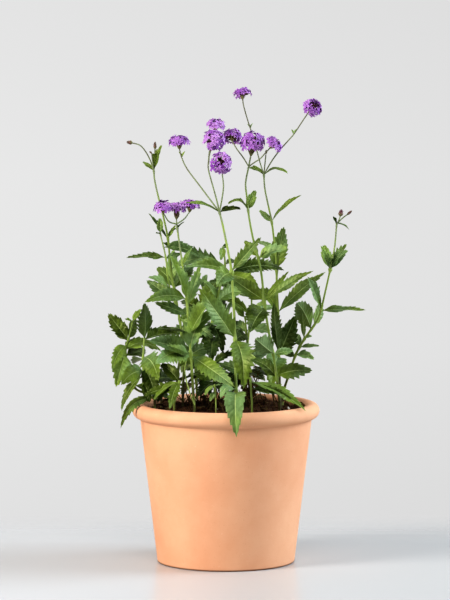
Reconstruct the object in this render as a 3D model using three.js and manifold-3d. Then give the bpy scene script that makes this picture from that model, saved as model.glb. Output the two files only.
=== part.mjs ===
// A potted slender vervain (Verbena rigida): leafy square stems with toothed opposite
// leaves, tall flower stalks with purple heads, in a terracotta pot filled with potting soil.
// Millimetres, +Z up. The origin is the centre of the pot's underside; +X is to the right
// and +Y away from the front.
import * as THREE from "three";
import { mergeVertices } from "three/addons/utils/BufferGeometryUtils.js";
import Module from "manifold-3d";

const wasm = await Module();
wasm.setup();

// ---------------------------------------------------------------- driving dimensions
const POT_RIM_RADIUS = 95; // a pot sold as 19 cm
const POT_HEIGHT = 162;
const POT_BASE_RADIUS = 70;
const POT_WALL_TOP_RADIUS = 87; // outside of the wall, just under the rim
const POT_WALL = 7.5;
const POT_FLOOR = 9;
const RIM_HEIGHT = 16;
const DRAIN_RADIUS = 6;
const DRAIN_CIRCLE = 34;
const DRAIN_COUNT = 3;
const POT_SIDES = 40;

const SOIL_TOP = 154.5; // at the wall; the middle is a little higher
const SOIL_CROWN = 4;
const SOIL_CRUMB = 1.5;
const SOIL_GAP = 0.5; // between the soil and the pot's wall
const STEM_DEPTH = 22; // how far a stem stands in its hole
const STEM_FOOT = 7; // the straight length of a stem above the soil
const HOLE_GAP = 0.45; // between a stem and its hole in the soil

const LEAF_THICKNESS = 1.2; // along the midrib
const LEAF_FOLD = 0.26; // rise of the edge over the midrib, per mm of half width
const TOOTH_DEPTH = 0.15; // of the half width
const TOOTH_PITCH = 28; // mm of leaf for each tooth of an edge
const MOST_TEETH = 3;
const LEAF_BREADTH = 0.42; // the most that a leaf's width is of its length

const FLORET_RADIUS = 4.8;
const FLORET_TUBE = 7; // from inside the collar to the mouth of the floret
const COLLAR_INNER = 3.3; // the ring that the florets of one head grow from
const COLLAR_OUTER = 4.7;
const SPIKE_NECK = 2.5; // the spike where it passes through the collar
const JOINT_GAP = 0.3; // between a stalk's end and the spike that it carries

// ---------------------------------------------------------------- the front-view layout
// The plant is laid out on a front view drawn in the upright plane through the pot's axis:
// u to the right of the axis and v above the floor, in units of SHEET_UNIT. A third number
// is the depth behind that plane in mm: the point is pushed along its line to the eye, so
// the front view stays the same whatever the depth.
const SHEET_UNIT = 1.02;
const EYE = new THREE.Vector3(-1, -3364, 561);

function at(u, v, depth) {
  const drawn = new THREE.Vector3(u * SHEET_UNIT, 0, v * SHEET_UNIT);
  const stretch = (depth - EYE.y) / -EYE.y;
  return drawn.sub(EYE).multiplyScalar(stretch).add(EYE);
}

// The height v at which a point of space is drawn.
function drawnHeight(point) {
  const stretch = (point.y - EYE.y) / -EYE.y;
  return ((point.z - EYE.z) / stretch + EYE.z) / SHEET_UNIT;
}

// ---------------------------------------------------------------- solids and meshes
function solidOf(positions, triangles) {
  const mesh = new wasm.Mesh({
    numProp: 3,
    vertProperties: new Float32Array(positions),
    triVerts: new Uint32Array(triangles),
  });
  const solid = new wasm.Manifold(mesh);
  if (solid.volume() > 0) return solid;
  return solidOf(positions, triangles.slice().reverse());
}

function solidOfGeometry(geometry) {
  geometry.deleteAttribute("normal");
  geometry.deleteAttribute("uv");
  const merged = mergeVertices(geometry, 1e-4);
  return solidOf([...merged.attributes.position.array], [...merged.index.array]);
}

function geometryOf(solid) {
  const mesh = solid.getMesh();
  return new THREE.BufferGeometry()
    .setAttribute("position", new THREE.BufferAttribute(mesh.vertProperties, 3))
    .setIndex(new THREE.BufferAttribute(mesh.triVerts, 1));
}

const union = (solids) => solids.reduce((whole, piece) => whole.add(piece));

const MATERIALS = {
  terracotta: new THREE.MeshStandardMaterial({ color: 0xe6a67c, roughness: 0.85 }),
  soil: new THREE.MeshStandardMaterial({ color: 0x2b1c12, roughness: 1 }),
  foliage: new THREE.MeshStandardMaterial({ color: 0x4a7a33, roughness: 0.6 }),
  florets: new THREE.MeshStandardMaterial({ color: 0x9a4cc4, roughness: 0.6 }),
  bracts: new THREE.MeshStandardMaterial({ color: 0x4a2f38, roughness: 0.7 }),
};

const plant = new THREE.Group();

function addNode(name, solid, material) {
  const mesh = new THREE.Mesh(geometryOf(solid), MATERIALS[material]);
  mesh.name = name;
  plant.add(mesh);
}

// ---------------------------------------------------------------- stems
// A stem is square in section and tapers from its foot to its top. Its corners are carried
// along its route without twisting.
const STEM_STEP = 34; // mm of route for each straight length
const UP = new THREE.Vector3(0, 0, 1);

// The ends of the straight lengths of a stem that runs smoothly through some points.
function stemCentres(points, fewest) {
  const curve = new THREE.CatmullRomCurve3(points, false, "catmullrom", 0.5);
  return curve.getPoints(Math.max(fewest, Math.round(curve.getLength() / STEM_STEP)));
}

function stemSolid(centres, footRadius, topRadius) {
  const last = centres.length - 1;
  const positions = [];
  const triangles = [];
  let side = new THREE.Vector3(1, 0, 0);
  centres.forEach((centre, i) => {
    const along = centres[Math.min(i + 1, last)].clone().sub(centres[Math.max(i - 1, 0)]);
    along.normalize();
    side = side.sub(along.clone().multiplyScalar(side.dot(along))).normalize();
    const across = new THREE.Vector3().crossVectors(along, side);
    const radius = footRadius + ((topRadius - footRadius) * i) / last;
    for (let corner = 0; corner < 4; corner++) {
      const angle = ((corner + 0.5) * Math.PI) / 2;
      const point = centre.clone().addScaledVector(side, Math.cos(angle) * radius);
      point.addScaledVector(across, Math.sin(angle) * radius);
      positions.push(point.x, point.y, point.z);
    }
    if (i === last) return;
    for (let corner = 0; corner < 4; corner++) {
      const a = 4 * i + corner;
      const b = 4 * i + ((corner + 1) % 4);
      triangles.push(a, b, b + 4, a, b + 4, a + 4);
    }
  });
  const top = 4 * last;
  triangles.push(0, 2, 1, 0, 3, 2, top, top + 1, top + 2, top, top + 2, top + 3);
  return solidOf(positions, triangles);
}

// The point on a stem that is drawn at height v of the layout.
function onStem(centres, v) {
  const heights = centres.map(drawnHeight);
  let i = 1;
  while (i < centres.length - 1 && heights[i] < v) i += 1;
  const share = THREE.MathUtils.clamp((v - heights[i - 1]) / (heights[i] - heights[i - 1]), 0, 1);
  return centres[i - 1].clone().lerp(centres[i], share);
}

// ---------------------------------------------------------------- leaves
// Half width along the leaf, as a share of its widest: widest a little below the middle and
// running out to a point at the tip.
const leafShape = (t) => 0.12 * (1 - t) + 0.96 * Math.sin(Math.PI * t ** 0.84);

// Stations along one edge, past the base: a notch and a tooth in turn.
function leafStations(teeth) {
  const stations = [];
  const first = 0.24;
  const last = 0.94;
  const pitch = (last - first) / teeth;
  for (let k = 0; k < teeth; k++) {
    stations.push({ t: first + k * pitch, scale: k ? 1 - TOOTH_DEPTH : 1 });
    stations.push({ t: first + (k + 0.72) * pitch, scale: 1 + TOOTH_DEPTH });
  }
  return stations;
}

// A blade from `base` to `tip`, bowed upwards by `arch` of its length, with its upper face
// turned by `face` degrees towards the front about its own length.
function leafSolid(base, tip, width, arch, face) {
  const chord = tip.clone().sub(base);
  const length = chord.length();
  const outward = new THREE.Vector3(chord.x, chord.y, 0).normalize();
  const flatSide = new THREE.Vector3().crossVectors(outward, UP);
  const bow = new THREE.Vector3().crossVectors(flatSide, chord).normalize();
  const control = base.clone().lerp(tip, 0.5).addScaledVector(bow, 2 * arch * length);
  const curve = new THREE.QuadraticBezierCurve3(base, control, tip);
  const roll = THREE.MathUtils.degToRad(face) * (flatSide.y >= 0 ? 1 : -1);
  const widest = Math.min(width, LEAF_BREADTH * length) / 2;
  const teeth = THREE.MathUtils.clamp(Math.round(length / TOOTH_PITCH), 1, MOST_TEETH);
  const stations = leafStations(teeth);
  const positions = [];
  const triangles = [];
  const addStation = (t, half, edges) => {
    const centre = curve.getPoint(t);
    const along = curve.getTangent(t);
    const over = new THREE.Vector3().crossVectors(flatSide, along);
    const side = flatSide.clone().multiplyScalar(Math.cos(roll));
    side.addScaledVector(over, Math.sin(roll));
    const normal = new THREE.Vector3().crossVectors(side, along);
    const add = (sideways, upwards) => {
      const p = centre.clone().addScaledVector(side, sideways);
      p.addScaledVector(normal, upwards);
      positions.push(p.x, p.y, p.z);
    };
    add(0, LEAF_THICKNESS / 2);
    add(0, -LEAF_THICKNESS / 2);
    if (!edges) return;
    add(-half, half * LEAF_FOLD);
    add(half, half * LEAF_FOLD);
  };
  addStation(0, 0, false); // 0 and 1: the top and bottom of the base, inside the stem
  stations.forEach(({ t, scale }) => addStation(t, widest * leafShape(t) * scale, true));
  positions.push(tip.x, tip.y, tip.z);
  const apex = 2 + 4 * stations.length;
  triangles.push(0, 2, 4, 0, 5, 2, 1, 4, 3, 1, 3, 5, 0, 4, 1, 0, 1, 5);
  for (let i = 0; i + 1 < stations.length; i++) {
    const [top, bottom, left, right] = [0, 1, 2, 3].map((k) => 2 + 4 * i + k);
    triangles.push(left, top, top + 4, left, top + 4, left + 4);
    triangles.push(top, right, top + 4, right, right + 4, top + 4);
    triangles.push(left, bottom + 4, bottom, left, left + 4, bottom + 4);
    triangles.push(bottom, bottom + 4, right, right, bottom + 4, right + 4);
  }
  const [top, bottom, left, right] = [4, 3, 2, 1].map((k) => apex - k);
  triangles.push(left, top, apex, top, right, apex, bottom, left, apex, right, bottom, apex);
  return solidOf(positions, triangles);
}

// ---------------------------------------------------------------- flower heads
// Two directions square to an axis.
function squareTo(axis) {
  const first = new THREE.Vector3().crossVectors(axis, new THREE.Vector3(0.3, 1, 0.2));
  first.normalize();
  return [first, new THREE.Vector3().crossVectors(axis, first)];
}

// A spike of overlapping bracts: rings of a lathe whose corners stand out and in by turns.
function spikeSolid(foot, axis, rings) {
  const sides = 6;
  const relief = 0.14;
  const [e1, e2] = squareTo(axis);
  const positions = [];
  const triangles = [];
  rings.forEach(([height, radius, plain], i) => {
    for (let j = 0; j < sides; j++) {
      const angle = ((j + 0.5 * (i % 2)) * 2 * Math.PI) / sides;
      const stand = plain ? 1 : 1 + relief * (j % 2 ? 1 : -1);
      const p = foot.clone().addScaledVector(axis, height);
      p.addScaledVector(e1, Math.cos(angle) * radius * stand);
      p.addScaledVector(e2, Math.sin(angle) * radius * stand);
      positions.push(p.x, p.y, p.z);
    }
  });
  for (let i = 0; i + 1 < rings.length; i++) {
    for (let j = 0; j < sides; j++) {
      const a = sides * i + j;
      const b = sides * i + ((j + 1) % sides);
      triangles.push(a, b, b + sides, a, b + sides, a + sides);
    }
  }
  const last = sides * (rings.length - 1);
  for (let j = 1; j + 1 < sides; j++) {
    triangles.push(0, j + 1, j, last, last + j, last + j + 1);
  }
  return solidOf(positions, triangles);
}

// Heights and radii of the spike of an open head and of a closed bud, from the foot up. On an
// older head the cone of bracts under the florets has grown longer by `cone`.
const headRings = (size, cone) => [
  [JOINT_GAP, 1.3 * size],
  [2 * size, 3.1 * size],
  [(4.6 + cone) * size, 3.6 * size],
  [(5.8 + cone) * size, SPIKE_NECK * size, true],
  [(10 + cone) * size, SPIKE_NECK * size, true],
  [(11.4 + cone) * size, 3.5 * size],
  [(13.6 + cone) * size, 1.6 * size],
];
const budRings = (size, girth) => [
  [JOINT_GAP, 1.2 * size * girth],
  [2.4 * size, 2.7 * size * girth],
  [5.2 * size, 2.5 * size * girth],
  [7.4 * size, 0.9 * size * girth],
];

// The ring from which the florets of a head grow, round the neck of its spike.
function collarSolid(foot, axis, size) {
  const sides = 6;
  const [e1, e2] = squareTo(axis);
  const profile = [
    [COLLAR_INNER, 6.2],
    [COLLAR_OUTER, 6.2],
    [COLLAR_OUTER, 9.8],
    [COLLAR_INNER, 9.8],
  ];
  const positions = [];
  const triangles = [];
  for (let j = 0; j < sides; j++) {
    const angle = ((j - 0.5) * 2 * Math.PI) / sides;
    profile.forEach(([radius, height]) => {
      const p = foot.clone().addScaledVector(axis, height * size);
      p.addScaledVector(e1, Math.cos(angle) * radius * size);
      p.addScaledVector(e2, Math.sin(angle) * radius * size);
      positions.push(p.x, p.y, p.z);
    });
  }
  for (let j = 0; j < sides; j++) {
    const a = 4 * j;
    const b = 4 * ((j + 1) % sides);
    for (let k = 0; k < 4; k++) {
      const next = (k + 1) % 4;
      triangles.push(a + k, b + k, b + next, a + k, b + next, a + next);
    }
  }
  return solidOf(positions, triangles);
}

// One floret: a three-sided tube that opens into a flat limb of five petals.
function floretSolid(root, direction, length, radius, spin) {
  const [e1, e2] = squareTo(direction);
  const positions = [];
  const triangles = [];
  const add = (angle, r, out) => {
    const p = root.clone().addScaledVector(direction, out);
    p.addScaledVector(e1, Math.cos(angle) * r);
    p.addScaledVector(e2, Math.sin(angle) * r);
    positions.push(p.x, p.y, p.z);
  };
  const petals = 5;
  const rim = 2 * petals;
  for (let k = 0; k < rim; k++) {
    const isTip = k % 2 === 0;
    add(spin + (k * Math.PI) / petals, isTip ? radius : radius * 0.54, isTip ? length - 0.4 : length);
  }
  add(0, 0, length + 0.2); // mouth
  const tube = 0.75;
  for (let k = 0; k < 3; k++) add(spin + (k * 2 * Math.PI) / 3, tube, length - 1.3);
  for (let k = 0; k < 3; k++) add(spin + (k * 2 * Math.PI) / 3, tube, 0);
  const mouth = rim;
  const neck = rim + 1;
  const end = rim + 4;
  for (let k = 0; k < rim; k++) triangles.push(mouth, k, (k + 1) % rim);
  // underside: each rim edge joins the nearest corner of the neck
  const nearest = (k) => Math.round(((k + 0.5) * 3) / rim) % 3;
  for (let k = 0; k < rim; k++) {
    const here = neck + nearest(k);
    const before = neck + nearest((k + rim - 1) % rim);
    triangles.push(here, (k + 1) % rim, k);
    if (here !== before) triangles.push(before, here, k);
  }
  for (let k = 0; k < 3; k++) {
    const next = (k + 1) % 3;
    triangles.push(neck + k, end + k, end + next, neck + k, end + next, neck + next);
  }
  triangles.push(end, end + 2, end + 1);
  return solidOf(positions, triangles);
}

// The open florets of a head: a collar with rings of florets, the lower ones standing
// straight out and the upper ones lifted towards the tip.
function floretsSolid(foot, axis, size, rings) {
  const [e1, e2] = squareTo(axis);
  const pieces = [collarSolid(foot, axis, size)];
  rings.forEach(([count, height, lift], ring) => {
    for (let k = 0; k < count; k++) {
      const angle = (k * 2 * Math.PI) / count; // the middle of a side of the collar
      const outward = e1.clone().multiplyScalar(Math.cos(angle));
      outward.addScaledVector(e2, Math.sin(angle));
      const raised = THREE.MathUtils.degToRad(lift + 5 * Math.sin(7 * k + ring));
      const direction = outward.clone().multiplyScalar(Math.cos(raised));
      direction.addScaledVector(axis, Math.sin(raised)).normalize();
      const root = foot.clone().addScaledVector(axis, height * size);
      root.addScaledVector(outward, (COLLAR_INNER + 0.7) * size);
      const [tube, limb] = [FLORET_TUBE, FLORET_RADIUS].map((mm) => mm * size);
      pieces.push(floretSolid(root, direction, tube, limb, 1.3 * k + ring));
    }
  });
  return union(pieces);
}

// How much longer the cone of bracts is, and the rings of florets: how many, how high and how
// many degrees they are lifted.
const FULL_HEAD = { cone: 0, rings: [[6, 7, 0], [3, 8.9, 44]] };
const SMALL_HEAD = { cone: 0, rings: [[6, 7.2, 12], [3, 8.9, 50]] };
const TALL_HEAD = { cone: 4.5, rings: FULL_HEAD.rings };

// ---------------------------------------------------------------- the shoots
// Each shoot is one node: a stem that rises from `root` (x, y in mm at the soil) through the
// points of `stem` (u, v, depth), its `twigs`, and its leaves. A leaf is
// [v where it leaves the stem, u, v and depth of its tip, width, arch, face].
// A head is [name, foot (u, v, depth), axis (x, y, z), size, kind]. A closed bud has null for
// its kind, and then its girth as a share of a round bud's.
const SHOOTS = {
  centre: {
    root: [11, -62],
    girth: [1.9, 1.15],
    stem: [
      [10, 178, -62], [9, 222, -56], [8, 250, -50], [5.5, 289, -42],
      [2, 310, -38], [-3, 335, -34], [-6.5, 349, -32],
    ],
    twigs: [
      [
        [-6.5, 349, -32], [-14, 359, -30], [-26, 375, -26], [-38, 391, -22],
        [-43.5, 402, -20], [-46, 411, -20],
      ],
      [
        [-6.5, 349, -32], [-9.5, 362, -33], [-14, 378, -33], [-17.5, 392, -32],
        [-17, 402, -31], [-15.5, 409, -31],
      ],
      [[-17.3, 397, -31.5], [-16, 411, -17], [-11.2, 428.4, -3]],
      [[-6.5, 349, -32], [-4, 362, -36], [-2.5, 374, -38], [-3.5, 385, -38], [-5, 395.5, -40]],
    ],
    leaves: [
      [349, -41, 358, -44, 6, 0.1, 25], [349, 15, 352, -24, 8, 0.06, 30],
      [289, -41, 294, -56, 11, 0.11, 60], [290, 35, 324, -46, 12, 0, 70],
      [289, 58, 291, 6, 14, 0.06, 75], [287, -9.5, 274, -82, 25, 0.12, 40],
      [223, -26, 273, -72, 22, 0.01, 75], [222, 17.5, 172.5, -86, 21, 0.21, 5],
      [168, 10.5, 124, -104, 21, 0.32, 0], [170, -5.5, 163, -84, 13, 0.28, 30],
      [262, 0.5, 243, -30, 9, 0.05, 30],
    ],
    heads: [
      ["dome", [-46, 411.5, -20], [-0.05, -0.1, 1], 1, FULL_HEAD],
      ["twin_front", [-15.5, 409.5, -31], [0.32, -0.4, 0.87], 1, TALL_HEAD],
      ["twin_back", [-11, 429, -3], [0.1, -0.3, 0.95], 0.9, FULL_HEAD],
      ["facing", [-5, 396, -40.5], [0, -0.93, 0.36], 1.02, FULL_HEAD],
    ],
  },
  right_front: {
    root: [54, -36],
    girth: [1.7, 0.9],
    stem: [
      [51, 180, -36], [47, 208, -35], [42.5, 230, -34], [38, 260, -32], [35.5, 285, -30],
      [32, 303, -28], [27, 322, -26], [23, 343, -25], [20.5, 365, -24], [19.5, 378, -24],
      [22.5, 394, -24], [24.4, 404, -24],
    ],
    twigs: [
      [[22.5, 394, -24], [17, 403, -17], [11, 411, -7], [6.2, 418.9, 2]],
      [[22.5, 394, -24], [28, 398, -30], [34, 402, -33], [38.5, 407, -31], [43.2, 412, -28.5]],
      [[32.5, 301, -28], [37.5, 311, -32]],
    ],
    leaves: [
      [351, 1.5, 356.5, -34, 9, 0.28, 10], [351, 29.5, 370.5, -20, 9, 0.04, 65],
      [303, 61.5, 313, -40, 17, 0.07, 55], [304, 18, 320.5, -16, 9, 0.04, 40],
      [261, 6, 283, -22, 17, 0.02, 60], [260, 87, 290.5, -50, 12, 0.03, 55],
      [263, 62.5, 290.5, -22, 7, 0, 35], [257, 29, 255, -12, 7, 0.1, 55],
      [253, 24, 229, -78, 25, 0.06, 25], [208, 29, 223, -80, 20, 0, -50],
      [207, 67, 211, -12, 8, 0.03, 55], [186, 86, 191, -44, 16, 0.07, 75],
      [183, 22.5, 202.5, -30, 18, 0.11, 45],
    ],
    heads: [
      ["large", [24.5, 404.5, -24], [0.14, -0.15, 0.98], 1.12, TALL_HEAD],
      ["backward", [6, 419.5, 2], [-0.05, 0.5, 0.85], 0.88, FULL_HEAD],
      ["leaning", [43.5, 412.4, -28.5], [0.75, -0.2, 0.63], 0.86, FULL_HEAD],
    ],
  },
  right_tall: {
    root: [56, 14],
    girth: [1.7, 0.9],
    stem: [
      [53, 185, 12], [52, 215, 12], [51.5, 250, 11], [50.5, 275, 9], [50, 298, 7],
      [48, 318, 5], [45.5, 338, 2], [42, 355, -1], [38.5, 372, -4], [37.5, 386, -5],
    ],
    twigs: [
      [
        [37.5, 386, -5], [34, 397, -2], [31, 408, 2], [27.5, 421, 5], [24, 432, 3],
        [20.5, 443, 0], [17.5, 454, -2], [16.5, 460, -3],
      ],
      [
        [37.5, 386, -5], [45, 399, -11], [53, 410, -15], [60, 418, -18], [67, 426, -20],
        [75, 438, -21], [82, 448.5, -22],
      ],
      [[37.5, 386, -5], [38.5, 396, -6], [39.5, 406, -7]],
    ],
    leaves: [
      [386, 20, 392.5, 6, 7, 0.12, 25], [386, 61.5, 387, -12, 8, 0.22, 15],
      [339, 33, 351, 12, 6, 0.03, 45], [340, 75, 366, -6, 7, 0.06, 35],
      [291, 57.5, 334.5, 8, 17, 0.03, 75], [290, 32, 296, 50, 16, 0.1, 0],
      [249, 99, 289.5, 14, 15, 0.06, 50], [248, 24, 268, 48, 12, 0.19, 25],
      [209, 47.5, 259.5, -14, 11, 0.03, 0], [205, 69.5, 246.5, 22, 23, 0.02, 65],
      [185, 27, 195, 50, 13, 0, 20], [205, 44.5, 171.5, -37, 21, 0.16, 35],
      [309, 31, 320, 36, 9, 0.06, 20],
    ],
    heads: [
      ["highest", [16.5, 460.5, -3], [-0.12, 0.1, 1], 0.84, SMALL_HEAD],
      ["outermost", [82.5, 449, -22], [0.5, -0.62, 0.6], 0.92, FULL_HEAD],
      ["green_bud", [39.7, 407, -7], [0.05, 0, 1], 0.6, null, 0.8],
    ],
  },
  far_right: {
    root: [58, 38],
    girth: [1.5, 0.9],
    stem: [
      [62, 185, 34], [69, 206, 28], [77, 221, 22], [90, 240, 14], [94.5, 252, 9],
      [98, 267, 6], [103.5, 292, 2], [107.7, 314, 0], [109.8, 338, 0],
    ],
    twigs: [
      [[109.8, 337, 0], [112, 341, -1], [113.2, 344.8, -1]],
      [[109.8, 337, 0], [115, 342.5, 2], [120.2, 346.4, 3]],
    ],
    leaves: [
      [337, 106, 344.5, -4, 5, 0.03, 75], [338, 122.5, 331, 2, 4, 0.12, 20],
      [292, 94, 315.5, -12, 9, 0, 75], [292, 120, 317, -12, 13, 0.02, 75],
      [251, 139, 251.5, -10, 12, 0, 35], [252, 81, 285, -8, 12, 0.03, 75],
      [232, 70, 259, -14, 19, 0.09, -55],
      [222, 75.5, 249, -4, 5, 0.06, 0], [223, 85.5, 225, 16, 7, 0.12, 45],
      [214.5, 93, 215.5, 14, 5, 0.02, 40], [215, 68, 226, 46, 8, 0.1, 40],
      [207, 87.5, 202, 16, 9, 0.08, 40], [205, 57, 211, 44, 8, 0.02, 60],
      [292, 97.5, 316.5, 29, 11, 0.05, 5], [236, 96, 258.5, 45, 12, 0.03, 60],
      [292, 121, 311, 12, 10, 0.08, 50],
    ],
    heads: [
      ["maroon_bud", [113.4, 345.4, -1], [0.18, 0, 1], 1.05, null, 1],
      ["side_bud", [120.6, 346.8, 3], [0.75, 0, 0.62], 0.9, null, 0.6],
    ],
  },
  left_flower: {
    root: [-32, -42],
    girth: [1.7, 1],
    stem: [
      [-33, 175, -40], [-35, 207, -37], [-37.5, 242, -34], [-38.5, 257, -33], [-40.5, 275, -32],
      [-43, 295, -31], [-46, 316, -30], [-49, 338, -30],
    ],
    twigs: [
      [[-49, 337, -30], [-56.5, 339.5, -40], [-61.5, 347, -47]],
      [[-49, 337, -30], [-41.5, 342, -20], [-36.5, 348.5, -11]],
      [[-49, 337, -30], [-49, 339, -30], [-49, 341, -30]],
      [[-36, 212, -37], [-41, 192, -44], [-37, 172, -56], [-31, 156, -66]],
    ],
    leaves: [
      [333, -53, 330, -26, 6, 0.08, 0], [333, -41.5, 339, -38, 6, 0.07, 10],
      [297, -33.5, 313.5, -44, 6, 0, 70], [262, -81, 259, -72, 13, 0.12, 60],
      [262, -56, 306, -50, 16, 0, 75], [256, -26, 296, -24, 11, 0, 55],
      [247, -71, 259, -40, 13, 0, 45], [229, -69.5, 233, -58, 13, 0.01, 5],
      [227, -11.5, 265.5, -54, 19, 0.01, 75], [207, -77, 220.5, -82, 20, 0.06, 60],
      [206, 9, 174.5, -84, 18, 0.03, 40], [209, -7.5, 250, -34, 18, 0.19, 65],
      [204, -70.5, 197, -84, 20, 0.12, 75], [188, -3, 184, -36, 14, 0, 65],
    ],
    heads: [
      ["trio_middle", [-49, 341.5, -30], [0, -0.1, 1], 0.88, TALL_HEAD],
      ["trio_left", [-61.8, 347.5, -47.5], [-0.15, -0.2, 1], 0.9, FULL_HEAD],
      ["trio_right", [-36.2, 349, -10.5], [0.12, 0.1, 1], 0.9, FULL_HEAD],
    ],
  },
  left_bud: {
    root: [-44, 14],
    girth: [1.5, 0.9],
    stem: [
      [-42, 205, 8], [-45, 235, 4], [-51, 270, 0], [-55, 295, -4], [-57.5, 322, -8],
      [-62, 344, -10], [-67, 364, -10], [-70.5, 380, -10], [-71.5, 390, -10],
    ],
    twigs: [
      [[-71.5, 389, -10], [-74.5, 399, -12], [-79, 408, -14], [-85, 415, -16], [-93, 417.5, -17]],
      [[-71.5, 389, -10], [-70.5, 399, -8], [-70.2, 411.5, -8]],
      [[-71.5, 389, -10], [-72.5, 397, -13], [-73.5, 407, -14]],
    ],
    leaves: [
      [390, -63.2, 415.5, -14, 8, 0.02, 72], [390, -82.5, 399, -4, 4.5, 0.05, 30],
      [322, -77, 348, -14, 5, 0, 55], [323, -50, 336, -6, 4, 0.02, 50],
      [274, -69, 293.5, 14, 14, 0.09, 60], [273, -32, 296.5, 26, 15, 0.04, 40],
      [259, -79, 281, 16, 14, 0.04, 70],
      [241, -22.5, 244, 30, 14, 0.15, 50], [278, -52, 312, 25, 11, 0.1, 5],
      [292, -6, 299, -18, 10, 0.13, 65], [242, -11.5, 223, -25, 15, 0.05, 55],
    ],
    heads: [
      ["drooping_bud", [-93, 417.6, -17], [-1, 0, 0.12], 0.88, null, 1],
      ["upright_bud", [-70.2, 412, -8], [0, 0, 1], 1.1, null, 0.6],
      ["tiny_bud", [-73.6, 407.5, -14], [-0.6, 0, 0.4], 0.45, null, 0.9],
    ],
  },
  left_slim: {
    root: [-52, -12],
    girth: [1.4, 0.8],
    stem: [
      [-46, 205, -15], [-45, 238, -18], [-50, 257, -20], [-55, 270, -22], [-58, 286, -24],
      [-60, 305, -24], [-65.5, 329, -24],
    ],
    twigs: [],
    leaves: [
      [328, -69.5, 328, -30, 6, 0, 5], [328, -65.5, 343, -20, 8, 0.13, 20],
      [304, -99, 303.5, -28, 10.5, 0.035, 40], [303, -45, 307.5, -20, 7.5, 0.01, 60],
      [269, -77.5, 284, -38, 10, 0.13, 35], [314, -24.5, 303.5, -15, 11, 0.1, 65],
      [194, -11.5, 214.5, 25, 19, 0.13, 45],
    ],
    heads: [],
  },
  low_left: {
    root: [-72, -14],
    girth: [1.6, 1.1],
    stem: [[-81, 172, -16], [-82, 189, -16], [-82.5, 203, -16], [-81, 224, -12]],
    twigs: [],
    leaves: [
      [222, -81.5, 258.5, -40, 16, 0.02, 25], [222, -47, 228, 4, 17, 0.05, 25],
      [204, -67, 180.5, -62, 21, 0.12, 45], [203, -93, 198, 22, 14, 0.03, -10],
      [190, -104.5, 176.5, -48, 19, 0.15, 70], [187, -104, 150.5, -22, 9, 0.09, 25],
      [163, -105, 133, -36, 9, 0.25, 65], [175, -44.5, 181, 26, 19, 0.11, 35],
      [180, -76, 159, -24, 14, 0.1, 40], [196, -69, 161, -32, 16, 0.1, 40],
    ],
    heads: [],
  },
  far_left: {
    root: [-66, 20],
    girth: [1.5, 0.8],
    stem: [[-89, 172, 14], [-96, 190, 8], [-100, 210, 2], [-97, 222, -2], [-92.5, 241, -4]],
    twigs: [],
    leaves: [
      [240, -100.5, 242.5, -10, 7, 0, 45], [240, -84, 252.5, 2, 6.5, 0, 25],
      [222, -117, 248, 8, 20, 0.02, 50], [213, -63.5, 209, 20, 17, 0.16, 40],
      [208, -109.5, 174.5, -26, 20, 0.115, 30], [206, -80, 212.5, 46, 14, 0.02, 45],
      [176, -53, 160.5, 5, 13, 0.07, 30], [175, -92, 172, -8, 12, 0.06, 20],
      [216, -113, 190.5, -38, 12, 0.08, 55], [212, -82, 214, 35, 14, 0.05, 30],
      [222, -89, 243, 24, 11, 0.05, 50], [220, -111, 247, 33, 14, 0.03, 60],
    ],
    heads: [],
  },
  front_left: {
    root: [-52, -52],
    girth: [1.4, 1.1],
    stem: [[-49, 168, -54], [-46, 181, -55]],
    twigs: [],
    leaves: [
      [180, -72, 161, -64, 12, 0.08, 20], [179, -56, 152, -84, 10, 0.1, 20],
      [179, -65.5, 197, -40, 16, 0.09, 45], [173, -81, 165.5, -54, 12, 0.05, 60],
      [171, -68.5, 158.5, -13, 14, 0.12, 5],
    ],
    heads: [],
  },
  middle: {
    root: [-12, 2],
    girth: [2, 0.9],
    stem: [
      [-11, 175, 1], [-14, 202, 3], [-15, 225, 5], [-12, 250, 8], [-7, 270, 10],
      [-2, 290, 12], [-1, 300, 12], [-3, 315, 12],
    ],
    twigs: [],
    leaves: [
      [314, -5.5, 301, 0, 6.5, 0.1, 15], [313, 2, 317.5, 20, 8, 0.02, 35],
      [293, -63.5, 319, 2, 18, 0.01, 25], [297, 17, 297, 56, 9, 0.06, 10],
      [262, -23, 281, 4, 14, 0.06, 55], [258, 19, 267.5, 46, 14, 0.15, 55],
      [226, -15.5, 199, -24, 26, 0.1, -10], [225, -25, 230, 44, 18, 0.13, 35],
      [196, 13.5, 208.5, -16, 9, 0.13, 65], [195, -43.5, 190, 20, 13, 0.08, 50],
      [286, 32.5, 274, -25, 16, 0.09, 20],
      [240, -20, 212, -8, 16, 0.1, 10], [188, -40, 176, 20, 16, 0.1, 20],
      [189, 12, 177, 28, 14, 0.1, 20], [238, -3.5, 209, -10, 12, 0.05, 10],
      [236, -2, 262, 40, 17, 0.05, 30], [180, -28, 165, -28, 17, 0.05, 15],
      [181, -1, 167, -22, 14, 0.05, 15],
    ],
    heads: [],
  },
  middle_right: {
    root: [20, 14],
    girth: [1.4, 0.9],
    stem: [[20, 190, 12], [21, 215, 10], [20, 232, 10], [19, 245, 10]],
    twigs: [],
    leaves: [
      [244, 3.5, 257, 2, 9, 0, 65], [244, 27, 256, 4, 8, 0.02, 50],
      [231, 44, 228.5, -16, 15, 0.06, 25], [229, 2, 236, 30, 14, 0.1, 45],
      [196, 45, 207, 44, 12, 0.13, 30], [195, -3, 178, -12, 14, 0.04, 65],
      [227, 7, 219, -20, 16, 0.05, 40], [184, 6, 169, 30, 14, 0.05, 10],
      [191, 37, 182, -14, 13, 0.05, 15],
    ],
    heads: [],
  },
  seedling: {
    root: [-10, -72],
    girth: [1, 0.8],
    stem: [[-10.5, 168, -72], [-11.5, 177, -73]],
    twigs: [],
    leaves: [
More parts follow.
